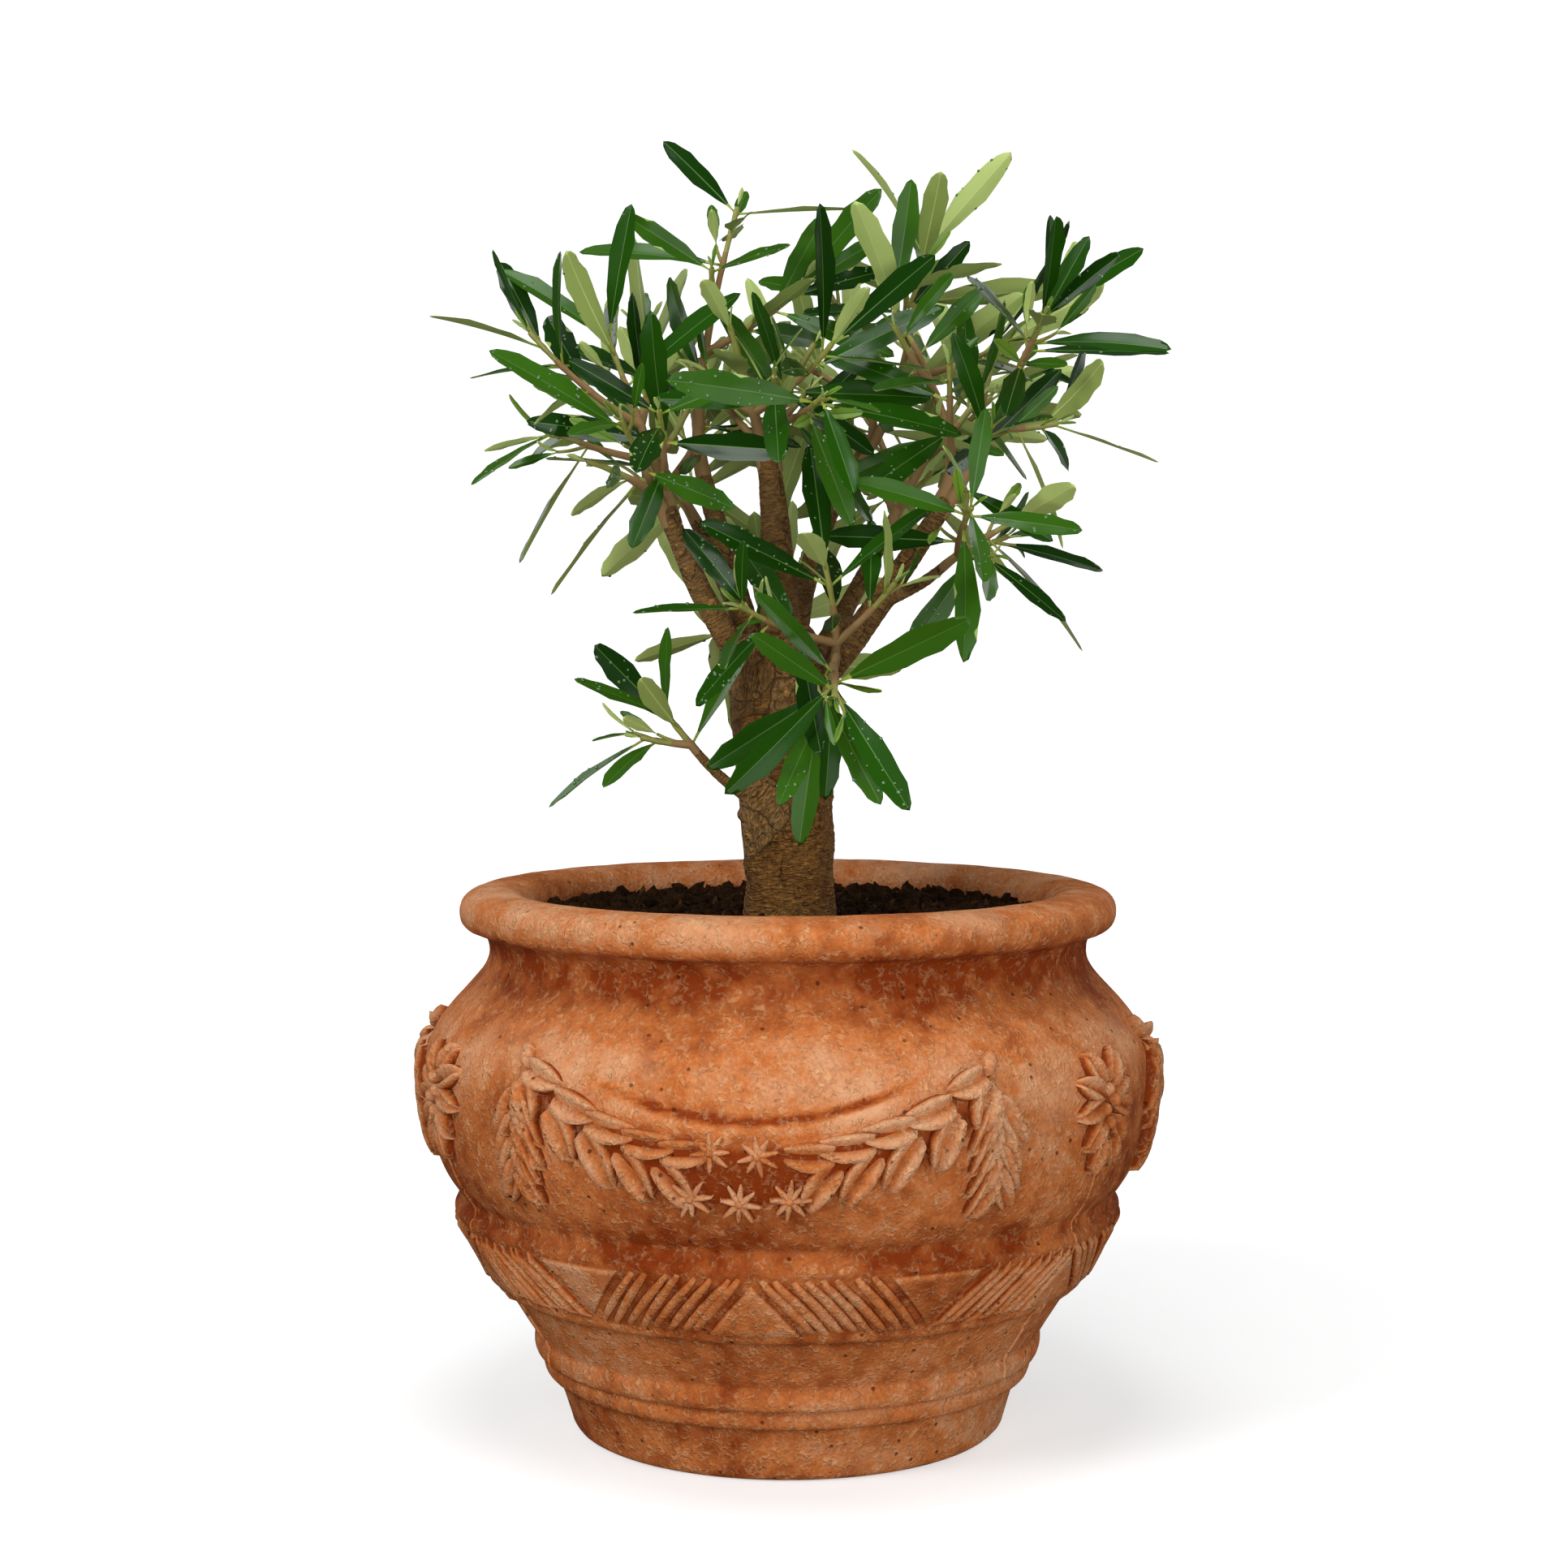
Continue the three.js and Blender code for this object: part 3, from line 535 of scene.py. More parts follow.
def leaf_at(random, root, heading, side, rank, opening):
    """One leaf. Older leaves stand out more and hang more, and each turns to the light."""
    opened = min(opening + STANCE["older"] * rank, STANCE["widest"])
    spread = math.radians(opened) + wobble(STANCE["range"], random)
    way = unit(heading * math.cos(spread) + side * math.sin(spread) - UP * STANCE["hang"] * rank)
    level = unit(np.array((CORE["width"] * root[0], root[1] - CORE["depth"], 0.0)))
    light = level * FACING["outward"] + UP * FACING["upward"]
    face = heading * FACING["along"] + side * FACING["side"] + light * between(FACING["light"], random)
    face = unit(face - way * np.dot(face, way))
    face = turned(face, way, wobble(STANCE["twist"], random))
    grown = LEAF["youngest"] if rank == 0 else 1
    length = LEAF["length"] * grown * between(LEAF["lengths"], random)
    droop = between(LEAF["droops"], random)
    return {"root": root, "way": way, "face": face, "length": length, "droop": droop, "rank": rank}


def leaf_breadth(share):
    """Half-breadth as a share of the largest: narrow at the stalk, widest past the middle."""
    blade = np.clip(share - 0.1, 0, None) / 0.9
    return 0.08 + 2.64 * blade**0.9 * np.clip(1 - blade, 0, None) ** 0.65


def leaf_points(leaf, shares, asides):
    """Points of a leaf at shares of its length and of its half-breadth."""
    shares = np.asarray(shares, float)[:, None]
    across = np.cross(leaf["face"], leaf["way"])
    half = leaf["length"] * LEAF["breadth"] * 0.5 * leaf_breadth(shares)
    points = leaf["root"] + leaf["way"] * leaf["length"] * shares
    points = points - leaf["face"] * leaf["droop"] * leaf["length"] * shares**2
    return points + across * half * np.asarray(asides, float)[:, None]


def sample_grid():
    """Places on a blade where the rule looks for room: its tip, and rows of five across it."""
    shares = [1.0]
    asides = [0.0]
    share = 0.25
    while share < 0.95:
        shares += [share] * 5
        asides += [-1, -0.5, 0, 0.5, 1]
        share += 0.08
    return shares, asides


BLADE_SAMPLES = sample_grid()
STALK_SAMPLES = ((0.06, 0.12, 0.18), (0, 0, 0))


def twig_curve(random, root, heading, side, mark):
    """A side twig, which leaves the stem at an angle and rises towards its heading, or ends at a mark."""
    spread = math.radians(between(TWIG["angles"], random))
    way = heading * math.cos(spread) + side * math.sin(spread)
    length = between(TWIG["lengths"], random)
    if mark is not None:
        tip = np.array(mark, float)
        sag = -TWIG["sag"] * np.linalg.norm(tip - root)
        return Bow(root, (root + tip) / 2 + UP * sag, tip)
    rise = unit(way + heading * TWIG["rise"])
    knee = root + way * length * TWIG["knee"]
    return Bow(root, knee, knee + rise * length * TWIG["rest"])


def grow_twigs(name, random, stem, room):
    """The stem with its side twigs, which leave it below its youngest pairs, on either side in turn."""
    count, opening = SPRAYS[name][2:4]
    twigs = [dict(stem, roll=0.0, opening=opening)]
    pairs = pairs_along(stem["length"], STEM["bare"])
    curve = stem["curve"]
    level = curve.level()
    first = min(TWIG["below"], len(pairs) - 1)
    taken = set()
    for k in range(count):
        rank = first + math.floor((k + 0.9 * random()) / count * (len(pairs) - first))
        heading = curve.heading(pairs[rank])
        turn = math.radians(90 * (rank % 2) + 180 * (k % 2))
        side = sideways(heading, level, turn + wobble(TWIG["turn"], random))
        mark = MARKS.get(name) if k == 0 else None
        twig = twig_curve(random, curve.at(pairs[rank]), heading, side, mark)
        roll = math.radians(360 * random())
        opening = between(TWIG["opens"], random)
        samples = twig.points(17)[2:]
        clear = room.free(samples[3:], CLEAR["twig"], name)
        if clear and room.free(samples, CLEAR["twig"], name, 0):
            twigs.append({"curve": twig, "length": twig.length(), "roll": roll, "opening": opening})
            taken.add(rank * 2 + k % 2)
            room.take(samples, CLEAR["twig"], name)
    return twigs, taken


def grow_leaves(name, random, twigs, taken, room):
    """Opposite leaves in pairs, each pair square to the next. A leaf with no room is skipped."""
    leaves = []
    for which, twig in enumerate(twigs):
        curve = twig["curve"]
        level = curve.level()
        twig["pairs"] = pairs_along(twig["length"], TWIG["bare"] if which else STEM["bare"])
        for rank, share in enumerate(twig["pairs"]):
            root = curve.at(share)
            heading = curve.heading(share)
            turn = twig["roll"] + math.radians(90 * (rank % 2)) + wobble(PAIRS["turn"], random)
            for half in (0, 1):
                side = sideways(heading, level, turn + math.pi * half)
                leaf = leaf_at(random, root, heading, side, rank, twig["opening"])
                blade = leaf_points(leaf, *BLADE_SAMPLES)
                stalk = leaf_points(leaf, *STALK_SAMPLES)
                is_twig = which == 0 and rank * 2 + half in taken
                clear = not is_twig and room.free(blade, CLEAR["leaf"], name)
                if clear and room.free(stalk, CLEAR["leaf"], name, 0):
                    leaves.append(dict(leaf, spray=name))
                    room.take(blade, CLEAR["leaf"], name)
                    room.take(stalk, CLEAR["leaf"], name)
    return leaves


def grow_crown():
    """Every spray by the source's rule, in the source's order: twigs, leaves and the room that is left."""
    room = Room()
    room.take_limb(Bow(*TRUNK_AXIS), trunk_radius, "trunk")
    for name, (foot, knee, tip, radii) in BOUGHS.items():
        room.take_limb(Bow(foot, knee, tip), taper(*radii), name)
    stems = {name: stem_of(name) for name in SPRAYS}
    for name, stem in stems.items():
        room.take_limb(stem["curve"], stem["radius_at"], name)
    twigs = []
    leaves = []
    for name, stem in stems.items():
        random = seeded(SPRAYS[name][-1])
        grown, taken = grow_twigs(name, random, stem, room)
        leaves += grow_leaves(name, random, grown, taken, room)
        twigs += [dict(twig, spray=name) for twig in grown]
    return twigs, leaves, room


def leaflet(random, root, heading, side, opening, lengths):
    """A small young leaf that stands close to its shoot."""
    spread = math.radians(opening)
    way = unit(heading * math.cos(spread) + side * math.sin(spread))
    face = unit(heading - way * np.dot(heading, way) - side * FINER["inward"])
    face = unit(face - way * np.dot(face, way))
    length = between(lengths, random)
    droop = between(LEAF["droops"], random)
    return {"root": root, "way": way, "face": face, "length": length, "droop": droop, "rank": -1}


def grow_finer(twigs, room):
    """Carries the rule on: a bud of small leaves on every tip, and short leafy shoots in old axils."""
    shoots = []
    leaflets = []
    draws = {name: seeded(row[-1] + FINER["seed"]) for name, row in SPRAYS.items()}
    for twig in twigs:
        random = draws[twig["spray"]]
        curve = twig["curve"]
        tip = curve.at(1)
        heading = curve.heading(1)
        for half in (0, 1):
            side = sideways(heading, curve.level(), twig["roll"] + math.pi * (half + 0.5))
            bud = leaflet(random, tip, heading, side, FINER["bud_open"], FINER["bud_lengths"])
            leaflets.append(dict(bud, spray=twig["spray"]))
        for rank, share in enumerate(twig["pairs"]):
            turn = twig["roll"] + math.radians(90 * (rank % 2) + 180 * math.floor(2 * random()))
            found = axil_shoot(random, twig, share, turn, room)
            if rank > 0 and found:
                shoots.append(found[0])
                leaflets += found[1]
    return shoots, leaflets


def axil_shoot(random, twig, share, turn, room):
    """A short shoot with a pair of small leaves, or None where it has no room."""
    name = twig["spray"]
    curve = twig["curve"]
    root = curve.at(share)
    heading = curve.heading(share)
    side = sideways(heading, curve.level(), turn)
    spread = math.radians(FINER["angle"])
    way = heading * math.cos(spread) + side * math.sin(spread)
    length = between(FINER["lengths"], random)
    knee = root + way * length * FINER["knee"]
    shoot = Bow(root, knee, knee + unit(way + heading) * length * FINER["rest"])
    opening = between(FINER["opens"], random)
    pair = []
    for half in (0, 1):
        out = sideways(shoot.heading(1), shoot.level(), turn + math.pi * (half + 0.5))
        leaf = leaflet(random, shoot.at(1), shoot.heading(1), out, opening, FINER["leaf_lengths"])
        if room.free(leaf_points(leaf, *BLADE_SAMPLES), FINER["clear"], name, FINER["own"]):
            pair.append(dict(leaf, spray=name))
    if not pair or random() > FINER["share"]:
        return None
    for leaf in pair:
        room.take(leaf_points(leaf, *BLADE_SAMPLES), FINER["clear"], name)
    return shoot, pair


# Meshes


def link(name, data):
    obj = bpy.data.objects.new(name, data)
    bpy.context.scene.collection.objects.link(obj)
    return obj


def keep_values(mesh, key, values):
    """Stores a value for each point of a mesh under a name."""
    layer = mesh.attributes.new(key, "FLOAT", "POINT")
    layer.data.foreach_set("value", np.asarray(values, np.float32))


def plain_mesh(obj):
    """The mesh that an object's modifiers make. The object itself isn't kept."""
    graph = bpy.context.evaluated_depsgraph_get()
    mesh = bpy.data.meshes.new_from_object(obj.evaluated_get(graph))
    bpy.data.objects.remove(obj)
    return mesh


def mesh_of(name, points, faces, materials, which=None, floats=None):
    """A smooth mesh from points in millimetres, with a material number and named values where given."""
    mesh = bpy.data.meshes.new(name)
    mesh.from_pydata((np.asarray(points, float) * MM).tolist(), [], faces)
    for material in materials:
        mesh.materials.append(material)
    if which is not None:
        mesh.polygons.foreach_set("material_index", np.asarray(which, np.int32))
    mesh.polygons.foreach_set("use_smooth", np.ones(len(mesh.polygons), bool))
    for key, values in (floats or {}).items():
        keep_values(mesh, key, values)
    mesh.validate()
    mesh.update()
    return mesh


def settle(obj, slot, *nodes):
    """Puts a finished piece on the part's body and hides the solids that it stands for. The finish that it is
    given is not used.
    """
    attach(obj, BODY)
    if nodes:
        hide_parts(*nodes)
    return obj


class Gathering:
    """Points and faces of many small shapes, gathered for one mesh."""

    def __init__(self):
        self.points = []
        self.faces = []
        self.values = []
        self.count = 0

    def add(self, points, faces, values=None):
        points = np.asarray(points, float).reshape(-1, 3)
        self.points.append(points)
        self.faces += [tuple(self.count + i for i in face) for face in faces]
        self.values.append(np.zeros(len(points)) if values is None else np.asarray(values, float).ravel())
        self.count += len(points)

    def all_points(self):
        return np.concatenate(self.points)

    def all_values(self):
        return np.concatenate(self.values)


def sheet_faces(rows, columns):
    """Faces of a grid of points whose rows lie behind each other."""
    faces = []
    for i in range(rows - 1):
        for j in range(columns - 1):
            start = i * columns + j
            faces.append((start, start + columns, start + columns + 1, start + 1))
    return faces


def ring_faces(rings, sides):
    """Faces between rings of points that close on themselves, from the first ring to the last."""
    faces = []
    for i in range(rings - 1):
        for j in range(sides):
            after = (j + 1) % sides
            faces.append((i * sides + j, i * sides + after, (i + 1) * sides + after, (i + 1) * sides + j))
    return faces


def round_turns(sides):
    """Angles of the points of a ring."""
    return np.linspace(0, 2 * math.pi, sides, endpoint=False)


def end_fans(low, high, rings, sides):
    """Triangles that close the first and the last of some rings, each round one point."""
    last = (rings - 1) * sides
    faces = []
    for j in range(sides):
        after = (j + 1) % sides
        faces.append((after, j, low))
        faces.append((last + j, last + after, high))
    return faces


def boss_faces(rings, sides):
    """Faces of a boss: rings of points, and a fan from the last ring to the point after it."""
    last = (rings - 1) * sides
    fan = [(last + j, last + (j + 1) % sides, last + sides) for j in range(sides)]
    return ring_faces(rings, sides) + fan


def tube(curve, radius_at, sides, rings):
    """A closed limb round a curve."""
    level = curve.level()
    points = []
    for share in np.linspace(0, 1, rings):
        heading = curve.heading(share)
        across = sideways(heading, level, 0)
        out = np.cross(heading, across)
        for j in range(sides):
            angle = 2 * math.pi * j / sides
            spoke = across * math.cos(angle) + out * math.sin(angle)
            points.append(curve.at(share) + radius_at(share) * spoke)
    last = (rings - 1) * sides
    caps = [tuple(reversed(range(sides))), tuple(range(last, last + sides))]
    return np.array(points), ring_faces(rings, sides) + caps


# Node trees


def colour_input(colour):
    """A colour as a socket takes it: the socket that feeds it, or three values made opaque."""
    return colour if isinstance(colour, bpy.types.NodeSocket) else (*colour, 1.0)


class Nodes:
    """Adds nodes to a tree, with each input given as a value or as the socket that feeds it."""

    # Sockets of the colour mix: its factor and its two colours, and the colour that it gives
    mix_inputs = (0, 6, 7)
    mix_colour = 2

    def __init__(self, tree):
        self.tree = tree

    def add(self, kind, inputs=None, **settings):
        node = self.tree.nodes.new(kind)
        for key, value in settings.items():
            setattr(node, key, value)
        for key, value in (inputs or {}).items():
            if isinstance(value, bpy.types.NodeSocket):
                self.tree.links.new(value, node.inputs[key])
            else:
                node.inputs[key].default_value = value
        return node

    def mix(self, share, first, second):
        """A colour between two others."""
        values = (share, colour_input(first), colour_input(second))
        node = self.add("ShaderNodeMix", dict(zip(self.mix_inputs, values)), data_type="RGBA")
        return node.outputs[self.mix_colour]

    def maths(self, operation, *values):
        return self.add("ShaderNodeMath", dict(enumerate(values)), operation=operation).outputs[0]

    def times(self, first, second):
        return self.maths("MULTIPLY", first, second)

    def layered(self, colour, *layers):
        """A colour with others laid over it in turn, each by its own mask."""
        for mask, other in layers:
            colour = self.mix(mask, colour, other)
        return colour

    def spread(self, value, low, high, to_low=0.0, to_high=1.0):
        """A value carried from one range to another."""
        values = (value, low, high, to_low, to_high)
        return self.add("ShaderNodeMapRange", dict(enumerate(values))).outputs[0]

    def place(self):
        return self.add("ShaderNodeTexCoord").outputs["Object"]

    def named(self, name, output="Fac"):
        """What the mesh holds for each of its points under a name."""
        return self.add("ShaderNodeAttribute", attribute_name=name).outputs[output]

    def group(self, name, make, inputs):
        """A shared group, placed with its own values."""
        return self.add("ShaderNodeGroup", inputs, node_tree=shared_group(name, make)).outputs[0]

    def blotches(self, place, scale, detail=4.0, low=0.35, high=0.65):
        wanted = {"Vector": place, "Scale": scale, "Detail": detail, "From": low, "To": high}
        return self.group("Blotches", blotches_group, wanted)

    def curls(self, place, scale, width):
        return self.group("Curls", curls_group, {"Vector": place, "Scale": scale, "Width": width})

    def pits(self, place, scale, share, size):
        wanted = {"Vector": place, "Scale": scale, "Share": share, "Size": size}
        return self.group("Pits", pits_group, wanted)


def group_tree(name, kind, inputs, outputs):
    """An empty node group with named sockets, its nodes, and the sockets inside it."""
    tree = bpy.data.node_groups.new(name, kind)
    for label, socket, default in inputs:
        made = tree.interface.new_socket(label, in_out="INPUT", socket_type=socket)
        if default is not None:
            made.default_value = default
    for label, socket in outputs:
        tree.interface.new_socket(label, in_out="OUTPUT", socket_type=socket)
    nodes = Nodes(tree)
    return tree, nodes, nodes.add("NodeGroupInput").outputs, nodes.add("NodeGroupOutput").inputs


def mask_group(name, values):
    """An empty shader group that turns a place and named values into a mask."""
    inputs = [("Vector", "NodeSocketVector", None)]
    inputs += [(label, "NodeSocketFloat", value) for label, value in values.items()]
    return group_tree(name, "ShaderNodeTree", inputs, [("Mask", "NodeSocketFloat")])


def shape_group(name, inputs):
    """An empty geometry group that takes a geometry, named values and a material."""
    geometry = ("Geometry", "NodeSocketGeometry")
    inputs = [(*geometry, None), *inputs, ("Material", "NodeSocketMaterial", None)]
    return group_tree(name, "GeometryNodeTree", inputs, [geometry])


def blotches_group():
    """Soft blotches: a mask that turns from 0 to 1 over a range of a cloudy noise."""
    values = {"Scale": 20.0, "Detail": 4.0, "From": 0.35, "To": 0.65}
    tree, nodes, given, result = mask_group("Blotches", values)
    wanted = {key: given[key] for key in ("Vector", "Scale", "Detail")}
    cloud = nodes.add("ShaderNodeTexNoise", wanted).outputs[0]
    tree.links.new(nodes.spread(cloud, given["From"], given["To"]), result["Mask"])
    return tree


def pits_group():
    """Small round pits: a mask that is 1 in the middle of some cells of a Voronoi pattern."""
    tree, nodes, given, result = mask_group("Pits", {"Scale": 200.0, "Share": 0.3, "Size": 0.25})
    wanted = {key: given[key] for key in ("Vector", "Scale")}
    cells = nodes.add("ShaderNodeTexVoronoi", wanted).outputs
    chance = nodes.add("ShaderNodeSeparateColor", {0: cells["Color"]}).outputs[0]
    chosen = nodes.maths("LESS_THAN", chance, given["Share"])
    flat = nodes.times(given["Size"], 0.4)
    round_mask = nodes.spread(cells["Distance"], given["Size"], flat)
    tree.links.new(nodes.times(chosen, round_mask), result["Mask"])
    return tree


def curls_group():
    """Thin curled flecks: the contour lines of a noise, broken up by another."""
    tree, nodes, given, result = mask_group("Curls", {"Scale": 150.0, "Width": 0.02})
    wanted = {"Vector": given["Vector"], "Scale": given["Scale"], "Detail": 1.0, "Distortion": 0.6}
    field = nodes.add("ShaderNodeTexNoise", wanted).outputs[0]
    gap = nodes.maths("ABSOLUTE", nodes.maths("SUBTRACT", field, 0.5))
    line = nodes.spread(gap, given["Width"], 0.0)
    coarse = nodes.times(given["Scale"], 0.8)
    patches = nodes.add("ShaderNodeTexNoise", {"Vector": given["Vector"], "Scale": coarse}).outputs[0]
    tree.links.new(nodes.times(line, nodes.spread(patches, 0.44, 0.56)), result["Mask"])
    return tree


def shared_group(name, make):
    return bpy.data.node_groups.get(name) or make()


def plain_material(name, colour, roughness, **sockets):
    """A material of one colour, with further values set on the shader's own sockets."""
    material = bpy.data.materials.new(name)
    material.use_nodes = True
    shader = material.node_tree.nodes["Principled BSDF"]
    shader.inputs["Base Color"].default_value = colour_input(colour)
    shader.inputs["Roughness"].default_value = roughness
    for key, value in sockets.items():
        shader.inputs[key.replace("_", " ")].default_value = value
    material.diffuse_color = colour_input(colour)
    return material


def surface(material, colour, roughness, height, distance):
    """Feeds a material's shader with a colour, a roughness and a bump."""
    nodes = Nodes(material.node_tree)
    shader = material.node_tree.nodes["Principled BSDF"]
    bump = nodes.add("ShaderNodeBump", {"Strength": 1.0, "Distance": distance, "Height": height})
    for key, socket in (("Base Color", colour), ("Roughness", roughness), ("Normal", bump.outputs[0])):
        material.node_tree.links.new(socket, shader.inputs[key])


def terracotta(settings):
    """Unglazed clay: mottled, pitted, with thin curled flecks, and paler or darker by the tone stored on the
    mesh: paler on worn places and as painted highlight on the belly, the lip and the crests of the ornament,
    darker as painted shade in the neck, the groove and the crevices.
    """
    material = plain_material("terracotta", settings.clay, 0.9, Specular_IOR_Level=0.1)
    nodes = Nodes(material.node_tree)
    place = nodes.place()
    worn = nodes.named("worn")
    wide = nodes.blotches(place, 15.0, 6.0)
    small = nodes.blotches(place, 95.0, 6.0)
    grain = nodes.blotches(place, 620.0, 3.0)
    chalk = nodes.blotches(place, 26.0, low=0.5, high=0.66)
    curls = nodes.curls(place, 270.0, 0.09)
    rims = nodes.curls(place, 240.0, 0.05)
    pits = nodes.pits(place, 170.0, 0.26, 0.17)
    # The paler places follow the mesh's tone, which holds painted highlight and painted shade as well as
    # wear, mixed with random blotches.
    pale = nodes.maths("MULTIPLY_ADD", small, 0.36, nodes.maths("SUBTRACT", worn, 0.45))
    pale = nodes.maths("MULTIPLY_ADD", wide, 0.42, pale)
    colour = nodes.layered(
        settings.clay_deep,
        (nodes.spread(pale, 0.0, 0.5), settings.clay),
        (nodes.spread(pale, 0.5, 1.0), settings.clay_pale),
        (nodes.times(grain, 0.34), settings.clay_deep),
        (nodes.times(chalk, nodes.spread(worn, 0.45, 0.68, 0.0, 0.7)), settings.clay_pale),
        (nodes.times(curls, nodes.spread(pale, 0.0, 0.9, 0.26, 0.6)), settings.clay_fleck),
        (nodes.times(rims, 0.28), settings.clay_deep),
        (nodes.times(pits, 0.75), settings.clay_pit),
        # Painted shade: the pit colour laid in the crevices of the ornament and the creases of the wall.
        (nodes.spread(worn, -0.1, -0.6, 0.0, 0.75), settings.clay_pit),
    )
    roughness = nodes.spread(small, 0.0, 1.0, 0.78, 0.96)
    flecks = nodes.maths("SUBTRACT", curls, nodes.times(pits, 2.2))
    height = nodes.maths("MULTIPLY_ADD", grain, 0.35, flecks)
    surface(material, colour, roughness, height, 0.0005)
    return material


def bark(settings):
    """Bark: brown and ringed on the trunk, greyer on thin limbs, with dark cracks and pale ridges."""
    material = plain_material("bark", settings.bark, 0.85, Specular_IOR_Level=0.18)
    nodes = Nodes(material.node_tree)
    place = nodes.named("bark_place", "Vector")
    flat = nodes.add("ShaderNodeVectorMath", {0: place, 1: (1.0, 1.0, 3.4)}, operation="MULTIPLY").outputs[0]
    age = nodes.named("age")
    ridge = nodes.named("ridge")
    wide = nodes.blotches(place, 55.0, 5.0)
    fine = nodes.blotches(flat, 300.0, 5.0)
    ripples = nodes.curls(flat, 170.0, 0.07)
    cracks = nodes.curls(place, 120.0, 0.045)
    colour = nodes.layered(
        settings.bark_young,
        (age, settings.bark),
        (nodes.times(wide, 0.45), settings.bark_ridge),
        (nodes.spread(ridge, 0.42, 0.1, 0.0, 0.8), settings.bark_crack),
        (nodes.spread(ridge, 0.6, 1.0, 0.0, 0.8), settings.bark_ridge),
        (nodes.spread(fine, 0.0, 1.0, 0.62, 0.0), settings.bark_crack),
        (nodes.times(ripples, 0.75), settings.bark_ridge),
        (nodes.times(cracks, 0.6), settings.bark_crack),
    )
    roughness = nodes.spread(fine, 0.0, 1.0, 0.55, 0.85)
    height = nodes.maths("SUBTRACT", nodes.maths("ADD", fine, ripples), nodes.times(cracks, 0.9))
    surface(material, colour, roughness, height, 0.0014)
    return material


def earth(name, dark, light):
    """Damp crumbly soil."""
    material = plain_material(name, dark, 0.9, Specular_IOR_Level=0.05)
    nodes = Nodes(material.node_tree)
    place = nodes.place()
    small = nodes.blotches(place, 130.0, 6.0)
    fine = nodes.blotches(place, 600.0)
    colour = nodes.mix(nodes.times(small, fine), dark, light)
    roughness = nodes.spread(fine, 0.0, 1.0, 0.75, 0.97)
    surface(material, colour, roughness, fine, 0.0008)
    return material


def apply_tree(source, tree, name, values):
    """Runs a geometry tree on an object and keeps the result as a plain mesh in the object's place."""
    modifier = source.modifiers.new(tree.name, "NODES")
    modifier.node_group = tree
    for item in tree.interface.items_tree:
        if item.in_out == "INPUT" and item.name in values:
            modifier[item.identifier] = values[item.name]
    mesh = plain_mesh(source)
    mesh.name = name
    return link(name, mesh)


def end_tree(nodes, geometry, given, result):
    """The usual end of a geometry tree: smooth, realized and with its material."""
    smooth = nodes.add("GeometryNodeSetShadeSmooth", {"Geometry": geometry})
    real = nodes.add("GeometryNodeRealizeInstances", {"Geometry": smooth.outputs[0]})
    wanted = {"Geometry": real.outputs[0], "Material": given["Material"]}
    done = nodes.add("GeometryNodeSetMaterial", wanted)
    nodes.tree.links.new(done.outputs[0], result["Geometry"])


def round_limbs_tree():
    """Round limbs along the curves given, as thick as each curve's own radius."""
    tree, nodes, given, result = shape_group("Round limbs", [("Sides", "NodeSocketInt", 8)])
    ring = nodes.add("GeometryNodeCurvePrimitiveCircle", {"Resolution": given["Sides"], "Radius": 1.0})
    wanted = {
        "Curve": given["Geometry"],
        "Profile Curve": ring.outputs[0],
        "Scale": nodes.add("GeometryNodeInputRadius").outputs[0],
        "Fill Caps": True,
    }
    limbs = nodes.add("GeometryNodeCurveToMesh", wanted)
    end_tree(nodes, limbs.outputs[0], given, result)
    return tree


def scatter_tree():
    """Copies of a small shape scattered over a surface, each turned and scaled at random."""
    inputs = [
        ("Shape", "NodeSocketObject", None),
        ("Density", "NodeSocketFloat", 1000.0),
        ("Smallest", "NodeSocketFloat", 0.5),
        ("Largest", "NodeSocketFloat", 1.0),
        ("Tumble", "NodeSocketFloat", 1.0),
        ("Seed", "NodeSocketInt", 1),
    ]
    tree, nodes, given, result = shape_group("Scatter", inputs)
    wanted = {"Mesh": given["Geometry"], "Density": given["Density"], "Seed": given["Seed"]}
    spots = nodes.add("GeometryNodeDistributePointsOnFaces", wanted)
    shape = nodes.add("GeometryNodeObjectInfo", {"Object": given["Shape"]})
    wanted = {1: nodes.times(given["Tumble"], 2 * math.pi), "Seed": given["Seed"]}
    turns = nodes.add("FunctionNodeRandomValue", wanted, data_type="FLOAT_VECTOR")
    rotation = nodes.add("FunctionNodeRotateRotation", {0: spots.outputs["Rotation"], 1: turns.outputs[0]})
    wanted = {2: given["Smallest"], 3: given["Largest"], "Seed": given["Seed"]}
    scale = nodes.add("FunctionNodeRandomValue", wanted)
    wanted = {
        "Points": spots.outputs["Points"],
        "Instance": shape.outputs["Geometry"],
        "Rotation": rotation.outputs[0],
        "Scale": scale.outputs[1],
    }
    copies = nodes.add("GeometryNodeInstanceOnPoints", wanted)
    end_tree(nodes, copies.outputs[0], given, result)
    return tree


def scattered(name, ground, shape, values):
    """Copies of a shape scattered over a ground, as one piece. Ground and shape aren't kept."""
    tree = shared_group("Scatter", scatter_tree)
    piece = apply_tree(ground, tree, name, dict(values, Shape=shape))
    bpy.data.objects.remove(shape)
    return piece


# Pot


class Outline:
    """A line of radius and height points, drawn by straight and curved strokes."""

    def __init__(self, radius, height):
        self.points = [np.array((radius, height), float)]

    def line(self, end, steps):
        self.curve(self.points[-1] + (np.array(end) - self.points[-1]) / 2, end, steps)

    def curve(self, knee, end, steps):
        bow = Bow(self.points[-1], knee, end)
        self.points += list(bow.points(steps + 1)[1:])

    def wave(self, first, second, end, steps):
        """A stroke that leaves towards one point and arrives from another."""
        start, first, second, end = np.array((self.points[-1], first, second, end), float)
        for share in np.linspace(0, 1, steps + 1)[1:]:
            rest = 1 - share
            near = rest**3 * start + 3 * rest**2 * share * first
            self.points.append(near + 3 * rest * share**2 * second + share**3 * end)


